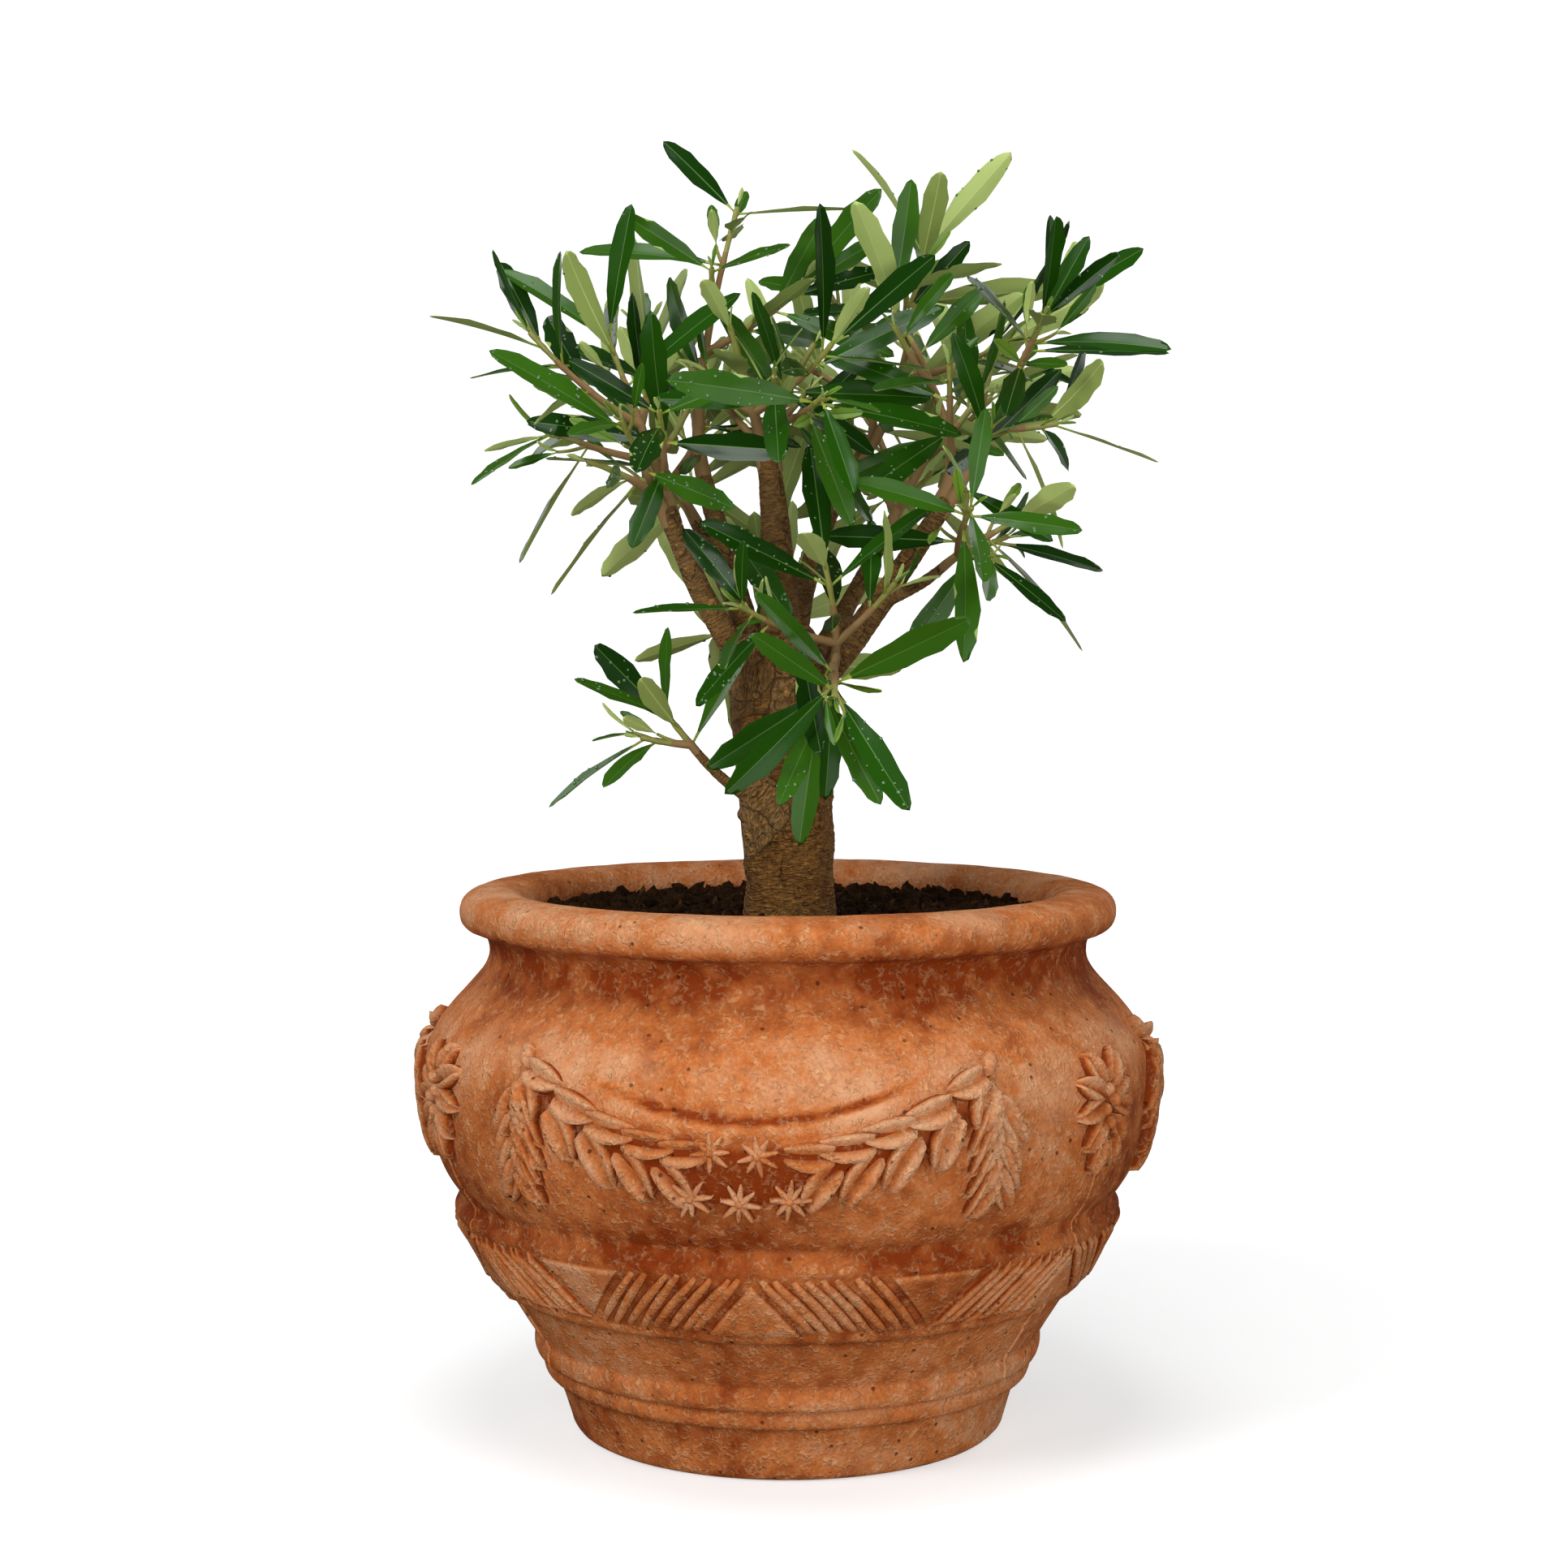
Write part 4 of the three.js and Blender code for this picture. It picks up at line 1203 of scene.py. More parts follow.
def pot_outside():
    """The pot's outline from the middle of its underside to the crown of its lip."""
    pen = Outline(0, 0)
    foot_side = FOOT["radius"] + FOOT["edge"]
    pen.line((FOOT["radius"] - 2, 0), 5)
    pen.curve((foot_side, 0), (foot_side + 1, 5), 6)
    pen.line((FOOT["top_radius"], FOOT["top"]), 10)
    for bead in BEADS:
        pen.line((bead["radius"] - bead["proud"], bead["bottom"]), 2)
        first = (bead["radius"] + 0.6, bead["bottom"])
        second = (bead["radius"] + 0.9, bead["top"] - 1)
        pen.wave(first, second, (bead["radius"] - 0.9, bead["top"]), 8)
    pen.line((BAND["low_radius"] - BAND["ledge"], BAND["bottom"] - 2), 12)
    low_edge = (BAND["low_radius"] + 0.5, BAND["bottom"] - 1.5)
    pen.curve(low_edge, (BAND["low_radius"] + 1, BAND["bottom"] + 2.5), 6)
    pen.line((BAND["high_radius"] - 0.5, BAND["top"] - 2), 14)
    high_edge = (BAND["high_radius"] + 0.8, BAND["top"] + 0.8)
    pen.curve(high_edge, (BAND["high_radius"] - 0.9, BAND["top"] + 2.6), 6)
    into_groove = (GROOVE["radius"] - 0.6, GROOVE["height"] - 2)
    pen.curve(into_groove, (GROOVE["radius"] + 0.6, GROOVE["height"] + 2), 6)
    full = (BELLY["radius"], GROOVE["height"] + BELLY["fullness"])
    pen.curve(full, (BELLY["radius"], BELLY["height"]), 40)
    shoulder = (BELLY["radius"], BELLY["shoulder"])
    pen.wave(shoulder, (NECK["radius"], NECK["bend"]), (NECK["radius"], NECK["height"]), 46)
    pen.curve((NECK["radius"], LIP["under"]), (LIP["radius"] - LIP["round"], LIP["under"] + 1), 8)
    pen.curve((LIP["radius"], LIP["under"] + 2), (LIP["radius"], LIP["height"]), 8)
    pen.curve((LIP["radius"], POT_HEIGHT), (LIP["crown"], POT_HEIGHT), 10)
    return pen


def pot_outline():
    """The whole outline, down the inside to the middle of the floor."""
    pen = pot_outside()
    pen.curve((LIP["mouth"], POT_HEIGHT), (LIP["mouth"], LIP["height"] - 2), 10)
    pen.line((LIP["mouth"], LIP["throat"]), 4)
    pen.line((NECK["radius"] - POT_WALL, NECK["height"] - POT_WALL), 3)
    pen.line((BELLY["radius"] - POT_WALL, BELLY["height"]), 3)
    pen.line((GROOVE["radius"] - POT_WALL, GROOVE["height"]), 3)
    pen.line((FOOT["top_radius"] - POT_WALL, FOOT["top"] + POT_FLOOR), 3)
    pen.line((FOOT["radius"] - POT_WALL, POT_FLOOR), 2)
    pen.line((0, POT_FLOOR), 2)
    return np.array(pen.points)


# How pale the clay is at heights of the pot, partly its own tone and partly painted light: painted shade in
# the neck under the lip, in the groove and between the strokes of the band, paler on the belly and the lip
# partly as painted top light, and paler low on the wall as painted bounce light
CLAY_TONES_WITH_PAINTED_LIGHT = (
    (0, 0.48),
    (12, 0.52),
    (25, 0.42),
    (31, 0.5),
    (40, 0.52),
    (48, 0.46),
    (66, 0.46),
    (76, 0.26),
    (100, 0.24),
    (109, 0.1),
    (124, 0.34),
    (150, 0.44),
    (185, 0.68),
    (205, 0.42),
    (222, 0.1),
    (231, 0.26),
    (238, 0.6),
    (249, 0.64),
)


def clay_tone_with_painted_light(heights):
    return np.interp(heights, *zip(*CLAY_TONES_WITH_PAINTED_LIGHT))


class Wall:
    """The pot's outer wall as a place for its ornament: an angle from the front and a height give a point."""

    reach = 1.5

    def __init__(self):
        points = np.array(pot_outside().points)
        low = np.argmax(points[:, 1] > FOOT["top"])
        high = np.argmax(points[:, 1] > LIP["under"])
        self.heights = points[low:high, 1]
        self.radii = points[low:high, 0]

    def radius(self, height):
        return np.interp(height, self.heights, self.radii)

    def slope(self, height):
        return (self.radius(height + self.reach) - self.radius(height - self.reach)) / (2 * self.reach)

    def point(self, angle, height, lift):
        """A point at a lift off the wall. The angle is in degrees, to the right of the front."""
        turn = np.radians(angle)
        slope = self.slope(height)
        size = np.sqrt(1 + slope * slope)
        radius = self.radius(height) + lift / size
        return np.stack([radius * np.sin(turn), -radius * np.cos(turn), height - lift * slope / size], -1)

    def near(self, angle, height, right, up, lift):
        """A point some millimetres to the right of and above a place on the wall."""
        rise = up / np.sqrt(1 + self.slope(height) ** 2)
        turn = np.degrees(right / self.radius(height + rise))
        return self.point(angle + turn, height + rise, lift)


# Moulded leaves and lines: places across them, their lift there, and the rows along them
BLADE_ACROSS = np.array((-1.0, -0.8, -0.42, 0.0, 0.42, 0.8, 1.0))
BLADE_LIFT = np.array((-1.0, 0.92, 0.74, 0.3, 0.74, 0.92, -1.0))
BLADE_ROWS = np.linspace(0.02, 0.985, 9)
LINE_ACROSS = np.array((-1.0, -0.68, 0.0, 0.68, 1.0))
LINE_LIFT = np.array((-1.0, 0.8, 1.0, 0.8, -1.0))
LINE_ROWS = 9


def moulded_blade(wall, made, angle, height, pointing, length, half, lift, bend=0.0):
    """A moulded leaf on the wall, hollow along its middle, from its root in the way that it points."""
    share = BLADE_ROWS[:, None]
    width = half * np.sin(math.pi * share**0.85) ** 0.55
    along = share * length
    aside = BLADE_ACROSS * width + bend * length * np.sin(math.pi * share)
    crest = lift * (0.3 + 0.7 * np.sin(math.pi * np.clip(share * 0.85 + 0.1, 0, 1)) ** 0.6)
    over = np.where(BLADE_LIFT < 0, -ORNAMENT["sink"], crest * BLADE_LIFT)
    over[[0, -1]] = -ORNAMENT["sink"]
    turn = math.radians(pointing)
    right = along * math.cos(turn) - aside * math.sin(turn)
    up = along * math.sin(turn) + aside * math.cos(turn)
    points = wall.near(angle, height, right, up, over)
    # Painted shade where the leaf sinks into the wall and in its hollow middle, and painted highlight on its
    # raised parts.
    tone_with_painted_light = clay_tone_with_painted_light(height) + np.where(BLADE_LIFT < 0, -1.2, 0.8 * (BLADE_LIFT - 0.55)) + share * 0
    made.add(points, sheet_faces(len(BLADE_ROWS), len(BLADE_ACROSS)), tone_with_painted_light)


def moulded_line(wall, made, start, end, half, lift, narrow=0.0):
    """A raised line between two places on the wall, each an angle and a height, narrower to its end."""
    share = np.linspace(0, 1, LINE_ROWS)[:, None]
    middle = np.array(start) + (np.array(end) - np.array(start)) * 0.5
    radius = wall.radius(middle[1])
    run = np.radians(end[0] - start[0]) * radius
    rise = end[1] - start[1]
    size = math.hypot(run, rise)
    width = half * (0.35 + 0.65 * np.sin(math.pi * np.clip(share, 0.06, 0.94)) ** 0.5) * (1 - narrow * share)
    aside = LINE_ACROSS * width
    angle = start[0] + (end[0] - start[0]) * share - np.degrees(aside * rise / size / radius)
    height = start[1] + rise * share + aside * run / size
    over = np.where(LINE_LIFT < 0, -ORNAMENT["sink"], lift * LINE_LIFT) + share * 0
    over[[0, -1]] = -ORNAMENT["sink"]
    # Painted shade at the line's edges and painted highlight on its crest.
    tone_with_painted_light = clay_tone_with_painted_light(height) + np.where(LINE_LIFT < 0, -0.9, 0.36 * LINE_LIFT)
    made.add(wall.point(angle, height, over), sheet_faces(LINE_ROWS, len(LINE_ACROSS)), tone_with_painted_light)


def moulded_dome(wall, made, angle, height, radius, lift, stretch=1.0, turn=0.0):
    """A low round boss on the wall, longer one way where it is stretched."""
    sides = 10
    levels = np.array((1.0, 0.8, 0.45))[:, None]
    # Painted shade round the boss's edge and painted highlight on its top.
    tones_with_painted_light = clay_tone_with_painted_light(height) + np.array((-0.3, 0.1, 0.2))
    spin = round_turns(sides)
    right = radius * levels * np.cos(spin)
    up = radius * levels * np.sin(spin) * stretch
    cos, sin = math.cos(math.radians(turn)), math.sin(math.radians(turn))
    over = np.where(levels == 1, -ORNAMENT["sink"], lift * np.sqrt(1 - (levels * 0.9) ** 2)) + spin * 0
    rings = wall.near(angle, height, right * cos - up * sin, right * sin + up * cos, over)
    points = np.concatenate([rings.reshape(-1, 3), [wall.point(angle, height, lift)]])
    made.add(points, boss_faces(len(levels), sides), np.append(np.repeat(tones_with_painted_light, sides), tones_with_painted_light[-1]))


def moulded_flower(wall, made, angle, height, random):
    """A small flower of narrow petals round a boss."""
    start = 360 * random()
    for k in range(FLOWER["petals"]):
        turn = math.radians(start + 360 / FLOWER["petals"] * k + astray(FLOWER["unrest"], random))
        reach = FLOWER["reach"] + FLOWER["longer"] * random()
        right = reach * math.cos(turn)
        up = reach * math.sin(turn)
        tip = (angle + math.degrees(right / wall.radius(height)), height + up)
        moulded_line(wall, made, (angle, height), tip, *FLOWER["petal"], narrow=FLOWER["narrow"])
    moulded_dome(wall, made, angle, height, *FLOWER["boss"])


def swag_height(offset):
    """Height of the garland at an angle from its middle."""
    return SWAG["low"] + SWAG["rise"] * (offset / SWAG["reach"]) ** 2


def garland(wall, made, middle, random):
    """A hanging garland: overlapping leaves towards the middle, where flowers fill it."""
    run = math.radians(SWAG["reach"]) * BELLY["radius"]
    for hand in (-1, 1):
        for share, base_length in zip(SWAG_SHARES, SWAG_LENGTHS):
            offset = hand * share * SWAG["reach"]
            fall = math.degrees(math.atan2(2 * SWAG["rise"] * share, run))
            for tilt in SWAG["tilts"]:
                turn = fall + tilt + astray(SWAG["unrest"], random)
                pointing = 180 + turn if hand > 0 else -turn
                bend = SWAG["bend"] * (-hand if tilt > 0 else hand)
                length = base_length + SWAG["longer"] * random()
                root = swag_height(offset) + (SWAG["upper"] if tilt < 0 else 0)
                moulded_blade(wall, made, middle + offset, root, pointing, length, *SWAG["leaf"], bend)
        end = middle + hand * SWAG["reach"]
        knot = swag_height(SWAG["reach"]) + KNOT["over"]
        moulded_dome(wall, made, end, knot, *KNOT["boss"], KNOT["stretch"], -KNOT["lean"] * hand)
        hanging_leaves(wall, made, end, hand, random)
    for offset, height in FLOWERS:
        moulded_flower(wall, made, middle + offset, height, random)


def hanging_leaves(wall, made, angle, hand, random):
    """The bunch of leaves that hangs from an end of a garland, along a stalk."""
    top = swag_height(SWAG["reach"])
    low, aside = HANGING["stalk_end"]
    stalk_end = (angle - hand * aside, top - low)
    moulded_line(wall, made, (angle, top + HANGING["stalk_over"]), stalk_end, *HANGING["stalk"])
    for drop in HANGING["drops"]:
        for side in (-1, 1):
            pointing = 270 + side * (HANGING["open"] + astray(HANGING["unrest"], random))
            length = HANGING["length"] - HANGING["shorter"] * drop + HANGING["longer"] * random()
            bend = -HANGING["bend"] * side
            moulded_blade(wall, made, angle, top - drop, pointing, length, *HANGING["leaf"], bend)


def bunch(wall, made, angle, random):
    """The bunch of leaves and fruit between two garlands."""
    for pointing, height in BUNCH["leaves"]:
        for side in (-1, 1):
            turn = pointing if side > 0 else 180 - pointing
            turn += astray(BUNCH["unrest"], random)
            length = BUNCH["length"] + BUNCH["longer"] * random()
            moulded_blade(wall, made, angle + BUNCH["aside"] * side, height, turn, length, *BUNCH["leaf"])
    for offset, height in BUNCH["fruit"]:
        moulded_dome(wall, made, angle + offset, height, *BUNCH["berry"])


def seam(wall, made, angle, random):
    """The line that the mould left between two thirds of the pot."""
    drift = [angle + astray(SEAM["drift"], random) for _ in SEAM["heights"]]
    places = list(zip(drift, SEAM["heights"]))
    for (start, high), (end, low) in zip(places, places[1:]):
        moulded_line(wall, made, (start, high + 1), (end, low - 1), *SEAM["line"])


def zigzag(wall, made, random):
    """The hatched band: strokes that lean to the right and to the left in turn."""
    turn = 360 / ZIGZAG["periods"]
    for period in range(ZIGZAG["periods"]):
        peak = ORNAMENT["middle"] + period * turn
        for hand in (-1, 1):
            for k in range(ZIGZAG["strokes"]):
                aside = turn / 2 - ZIGZAG["first"] - ZIGZAG["space"] * k + astray(0.7, random)
                foot = peak + hand * aside
                head = foot - hand * (ZIGZAG["lean"] + astray(1.2, random))
                low = ZIGZAG["low"] + 1.5 * random()
                high = ZIGZAG["high"] - 2 * random()
                half = ZIGZAG["half"] + 0.5 * random()
                lift = ZIGZAG["lift"] + 0.7 * random()
                moulded_line(wall, made, (foot, low), (head, high), half, lift)
        reach = turn / 2 - ZIGZAG["first"] - ZIGZAG["space"] * ZIGZAG["strokes"] + 0.9
        moulded_triangle(wall, made, peak, reach, ZIGZAG["low"], ZIGZAG["high"] - 3)
        moulded_triangle(wall, made, peak + turn / 2, reach, ZIGZAG["high"] - 1, ZIGZAG["low"] + 3)


def moulded_triangle(wall, made, angle, reach, base, point):
    """A raised triangle of the band, with its base at one height and its point at another."""
    steps = 8
    sides = 3 * steps
    rise = point - base
    share = np.linspace(0, 1, steps, endpoint=False)
    angles = np.concatenate([-reach + 2 * reach * share, reach * (1 - share), -reach * share])
    heights = np.concatenate([base + 0 * share, base + rise * share, point - rise * share])
    if point < base:
        angles = -angles
    middle = base + rise / 3
    scales = np.array((1.0, 0.84, 0.5))[:, None]
    lifts = np.array((-ORNAMENT["sink"], 1.5, 1.3))[:, None] + 0 * angles
    rings = wall.point(angle + angles * scales, middle + (heights - middle) * scales, lifts)
    points = np.concatenate([rings.reshape(-1, 3), [wall.point(angle, middle, 1.3)]])
    # Painted shade round the triangle's edge and painted highlight on its face.
    tone_with_painted_light = clay_tone_with_painted_light(middle) + np.append(np.repeat((-0.8, 0.4, 0.24), sides), 0.2)
    made.add(points, boss_faces(len(scales), sides), tone_with_painted_light)


def uneven(rings, angles, is_outside):
    """Lifts of a wall that was moulded by hand: a wide noise and a finer one, on the outside only."""
    lift = np.zeros((len(rings), len(angles)))
    for i, (radius, height) in enumerate(rings):
        if not is_outside[i] or height < 1:
            continue
        for j, angle in enumerate(angles):
            place = Vector((radius * math.sin(angle), -radius * math.cos(angle), height))
            lift[i, j] = 0.45 * noise.noise(place / 28) + 0.14 * noise.noise(place / 7)
    return lift


def swag_ground(heights, angles):
    """The wall behind the garlands: how far it swells, and its painted light: painted shade in the hollow
    round the garland and along the top of its ledge, and a painted highlight just below the ledge.
    """
    third = 360 / ORNAMENT["repeats"]
    ledge = SWAG["ledge"]
    offset = (np.degrees(angles) - ORNAMENT["middle"] + third / 2) % third - third / 2
    over = heights[:, None] - swag_height(offset)[None, :]
    near = 1 - smooth_step(np.abs(offset), 17, 27)
    rise = smooth_step(over, -24, 4) * (1 - smooth_step(over, ledge - 1.5, ledge + 1.5))
    ground = 1 - smooth_step(np.abs(offset), SWAG["reach"] - 6, SWAG["reach"] + 4)
    hollow = smooth_step(over, -16, -9) * (1 - smooth_step(over, 5, 12)) * ground
    edge = np.exp(-(((over - ledge - 1.5) / 1.6) ** 2)) * near
    rim_highlight = np.exp(-(((over - ledge + 2.5) / 1.8) ** 2)) * near
    # Painted shade from the hollow and the ledge, less the painted highlight on the rim.
    return SWAG["swell"] * rise * near, 0.5 * hollow + 0.6 * edge - 0.2 * rim_highlight


def pot_body(material):
    """The turned pot itself, a little uneven, with a swelling behind each garland."""
    outline = pot_outline()
    rings = outline[1:-1]
    angles = round_turns(POT_SIDES)
    step = np.gradient(outline, axis=0)[1:-1]
    normals = np.stack([step[:, 1], -step[:, 0]], -1)
    normals /= np.linalg.norm(normals, axis=1)[:, None]
    is_outside = np.arange(len(rings)) < len(pot_outside().points)
    swell, painted_shade_and_highlight = swag_ground(rings[:, 1], angles)
    lift = uneven(rings, angles, is_outside) + np.where(is_outside[:, None], swell, 0)
    radius = rings[:, 0][:, None] + normals[:, 0][:, None] * lift
    height = rings[:, 1][:, None] + normals[:, 1][:, None] * lift
    body = np.stack([radius * np.sin(angles), -radius * np.cos(angles), height], -1).reshape(-1, 3)
    points = np.concatenate([body, [(0, 0, 0)], [(0, 0, POT_FLOOR)]])
    fans = end_fans(len(body), len(body) + 1, len(rings), POT_SIDES)
    # Painted light: the tones by height carry painted shade and highlight, and the garlands' painted shade
    # and highlight are laid on them.
    tones_with_painted_light = clay_tone_with_painted_light(rings[:, 1])[:, None] - np.where(is_outside[:, None], painted_shade_and_highlight, 0)
    worn = np.concatenate([tones_with_painted_light.ravel(), [0.3, 0.3]])
    faces = ring_faces(len(rings), POT_SIDES) + fans
    return mesh_of("pot_body", points, faces, [material], floats={"worn": worn})


def pot_relief(material, seed):
    """All the moulded ornament, gathered on the wall."""
    wall = Wall()
    made = Gathering()
    random = seeded(seed)
    third = 360 / ORNAMENT["repeats"]
    for k in range(ORNAMENT["repeats"]):
        middle = ORNAMENT["middle"] + k * third
        garland(wall, made, middle, random)
        bunch(wall, made, middle + third / 2, random)
        seam(wall, made, middle + third / 2, random)
    zigzag(wall, made, random)
    # The ornament's tones: painted shade at its edges and painted highlight on its crests.
    worn = {"worn": made.all_values()}
    return mesh_of("pot_relief", made.all_points(), made.faces, [material], floats=worn)


# Soil


def soil_lumps():
    """Places and radii of the larger lumps, set round the trunk by the golden angle as in the source."""
    random = seeded(LUMPS["seed"])
    rows = []
    for k in range(LUMPS["count"]):
        share = (k + 0.5) / LUMPS["count"]
        away = math.sqrt(LUMPS["inner"] ** 2 + (LUMPS["outer"] ** 2 - LUMPS["inner"] ** 2) * share)
        turn = k * math.pi * (3 - math.sqrt(5))
        rows.append((away * math.sin(turn), -away * math.cos(turn), between(LUMPS["radius"], random)))
    return rows


def soil_top(x, y, radius, reach, lumps):
    """Height of the soil at a place: it rises to the wall, with lumps and roughness on it."""
    rise = SOIL["rise"] * max(0, (radius - SOIL["flat"]) / (reach - SOIL["flat"]))
    for lump_x, lump_y, size in lumps:
        away = math.hypot(x - lump_x, y - lump_y) / size
        rise += LUMPS["height"] * max(0, 1 - away) ** 0.8
    rough = 1.3 * noise.noise(Vector((x, y, 3)) / 14) + 0.8 * noise.noise(Vector((x, y, 9)) / 5)
    return SOIL["level"] - SOIL["below_crumbs"] + rise + rough


def soil_bed(material):
    """The soil's surface, level round the trunk and rising to the wall, and its skirt and underside."""
    lumps = soil_lumps()
    sides = SOIL["sides"]
    low = SOIL["level"] - SOIL["depth"]
    reach = LIP["mouth"] - SOIL["clear"]
    radii = np.linspace(SOIL["inner"], reach, SOIL["rings"])
    radii = np.concatenate([radii, [reach, reach - SOIL["tuck"]]])
    points = []
    for i, radius in enumerate(radii):
        for angle in round_turns(sides):
            x = radius * math.sin(angle)
            y = -radius * math.cos(angle)
            points.append((x, y, soil_top(x, y, radius, reach, lumps) if i < SOIL["rings"] else low))
    middle = len(points)
    points += [(0, 0, SOIL["level"] - 1), (0, 0, low)]
    fans = end_fans(middle, middle + 1, len(radii), sides)
    return mesh_of("soil_bed", points, fans[::-1] + ring_faces(len(radii), sides), [material])


def crumb_shape(name, seed, stretch):
    """One crumb of soil: a lumpy ball of a few dozen faces and about 1 mm in radius."""
    random = seeded(seed)
    rings, sides = CRUMB["rings"], CRUMB["sides"]
    points = []
    for i in range(rings):
        tilt = math.pi * (i + 1) / (rings + 1)
        for j in range(sides):
            turn = 2 * math.pi * (j + 0.5 * (i % 2)) / sides
            radius = CRUMB["smallest"] + CRUMB["range"] * random()
            ring = math.sin(tilt) * radius
            height = -math.cos(tilt) * radius * CRUMB["flat"]
            points.append((ring * math.cos(turn) * stretch, ring * math.sin(turn), height))
    low = len(points)
    points += [(0, 0, -CRUMB["pole"]), (0, 0, CRUMB["pole"])]
    faces = ring_faces(rings, sides) + end_fans(low, low + 1, rings, sides)
    return link(name, mesh_of(name, points, faces, []))


def crumbs(name, bed, material, settings):
    """Crumbs scattered over the soil by a geometry tree."""
    seed, stretch, share, sizes = CRUMBS[name]
    values = {
        "Density": settings.density * share,
        "Smallest": sizes[0] * settings.crumb_scale,
        "Largest": sizes[1] * settings.crumb_scale,
        "Seed": seed,
        "Material": material,
    }
    ground = link(name + "_ground", bed.copy())
    return scattered(name, ground, crumb_shape(name + "_shape", seed, stretch), values)


# Trunk and boughs


def stub_taper(start, end):
    """A taper that closes in a round end."""

    def radius_at(share):
        close = np.clip((share - STUB_ROUND) / (1 - STUB_ROUND), 0, 1)
        return (start + (end - start) * share) * math.sqrt(max(1 - close * close, 0.02))

    return radius_at


def limb_rows():
    """Every limb of the bark mesh: its axis, its radius and its number of sides and rings."""
    trunk = Bow((1, 0, SOIL["level"] - 5), *TRUNK_AXIS[1:])
    rows = [(trunk, trunk_radius, LIMB_GRIDS["trunk"])]
    for foot, knee, tip, radii in BOUGHS.values():
        rows.append((Bow(foot, knee, tip), taper(*radii), LIMB_GRIDS["bough"]))
    for foot, knee, tip, radii in STUBS:
        rows.append((Bow(foot, knee, tip), stub_taper(*radii), LIMB_GRIDS["stub"]))
    return rows


def joined_limbs(settings):
    """Trunk, boughs and stubs grown into one skin."""
    made = Gathering()
    for curve, radius_at, grid in limb_rows():
        made.add(*tube(curve, radius_at, *grid))
    obj = link("limbs_rough", mesh_of("limbs_rough", made.all_points(), made.faces, []))
    remesh = obj.modifiers.new("Skin", "REMESH")
    remesh.mode = "VOXEL"
    remesh.voxel_size = settings.skin_step
    soften = obj.modifiers.new("Soften", "SMOOTH")
    soften.factor = 0.5
    soften.iterations = 6
    return plain_mesh(obj)


def axis_finder():
    """A finder of the nearest limb: its place along the limb, its frame and its radius."""
    rows = []
    for number, (curve, radius_at, _) in enumerate(limb_rows()):
        length = curve.length()
        level = curve.level()
        for share in np.linspace(0, 1, int(length) + 1):
            heading = curve.heading(share)
            across = sideways(heading, level, 0)
            axes = np.stack([across, np.cross(heading, across), heading])
            along = share * length + BARK["apart"] * number
            rows.append((curve.at(share), axes, along, float(radius_at(share))))
    tree = kdtree.KDTree(len(rows))
    for i, row in enumerate(rows):
        tree.insert(Vector(row[0]), i)
    tree.balance()
    return tree, rows


def bark_relief(local, along, age):
    """Height of the bark at a place beside a limb's axis, and how much of it is ridge."""

    def scaled(wide, long):
        return Vector((local[0] / wide, local[1] / wide, along / long))

    rings = noise.noise(scaled(*BARK["rings"]))
    lumps = noise.noise(scaled(*BARK["lumps"]))
    crack = (1 - abs(noise.noise(scaled(*BARK["plates"])))) ** 12
    wart = 0.0
    if age > BARK["wart_age"]:
        wart = max(0.0, 1 - noise.voronoi(scaled(*BARK["warts"]))[0][0] / BARK["wart_size"])
    height = age * (1.3 * lumps + 0.4 * rings - 0.4 * crack + 1.0 * wart)
    height += (1 - age) * (0.2 * rings + 0.25 * lumps)
    return height, 0.5 + 0.32 * rings - 0.3 * age * crack + 0.5 * wart + 0.12 * lumps


def limbs_mesh(settings, material):
    """The bark of trunk and boughs, with its relief in the mesh."""
    mesh = joined_limbs(settings)
    tree, rows = axis_finder()
    count = len(mesh.vertices)
    places = np.zeros(count * 3, np.float32)
    normals = np.zeros(count * 3, np.float32)
    mesh.vertices.foreach_get("co", places)
    mesh.vertices.foreach_get("normal", normals)
    places = places.reshape(-1, 3) / MM
    normals = normals.reshape(-1, 3)
    ages = np.zeros(count)
    ridges = np.zeros(count)
    lifts = np.zeros(count)
    beside = np.zeros((count, 3))
    for i, place in enumerate(places):
        axis_point, axes, along, radius = rows[tree.find(Vector(place))[1]]
        local = axes @ (place - axis_point)
        ages[i] = min(max((radius - BARK["youngest"]) / BARK["ageing"], 0.0), 1.0)
        beside[i] = (local[0], local[1], along + local[2])
        lifts[i], ridges[i] = bark_relief(local, along + local[2], ages[i])
    lifts[places[:, 2] < SOIL["level"]] *= BARK["buried"]
    moved = (places + normals * lifts[:, None] * settings.relief) * MM
    mesh.vertices.foreach_set("co", moved.astype(np.float32).ravel())
    keep_values(mesh, "age", ages)
    keep_values(mesh, "ridge", np.clip(ridges, 0, 1))
    layer = mesh.attributes.new("bark_place", "FLOAT_VECTOR", "POINT")
    layer.data.foreach_set("vector", (beside * MM).astype(np.float32).ravel())
    mesh.materials.clear()
    mesh.materials.append(material)
    mesh.polygons.foreach_set("use_smooth", np.ones(len(mesh.polygons), bool))
    mesh.update()
    mesh.name = "limbs"
    return mesh


# Twigs and leaves


def twig_radii(twig, shares):
    """Radius along a twig: thick at its root, with a swelling at each pair of leaves."""
    root = twig.get("root_radius", TWIG_SHOWN["root"])
    tip = TWIG_SHOWN["tip"]
    radii = tip + (root - tip) * (1 - shares) ** TWIG_SHOWN["thinning"]
    for pair in twig["pairs"]:
        away = (shares - pair) * twig["length"] / TWIG_SHOWN["knot_reach"]
        radii = radii + TWIG_SHOWN["knot"] * np.exp(-(away**2))
    return radii


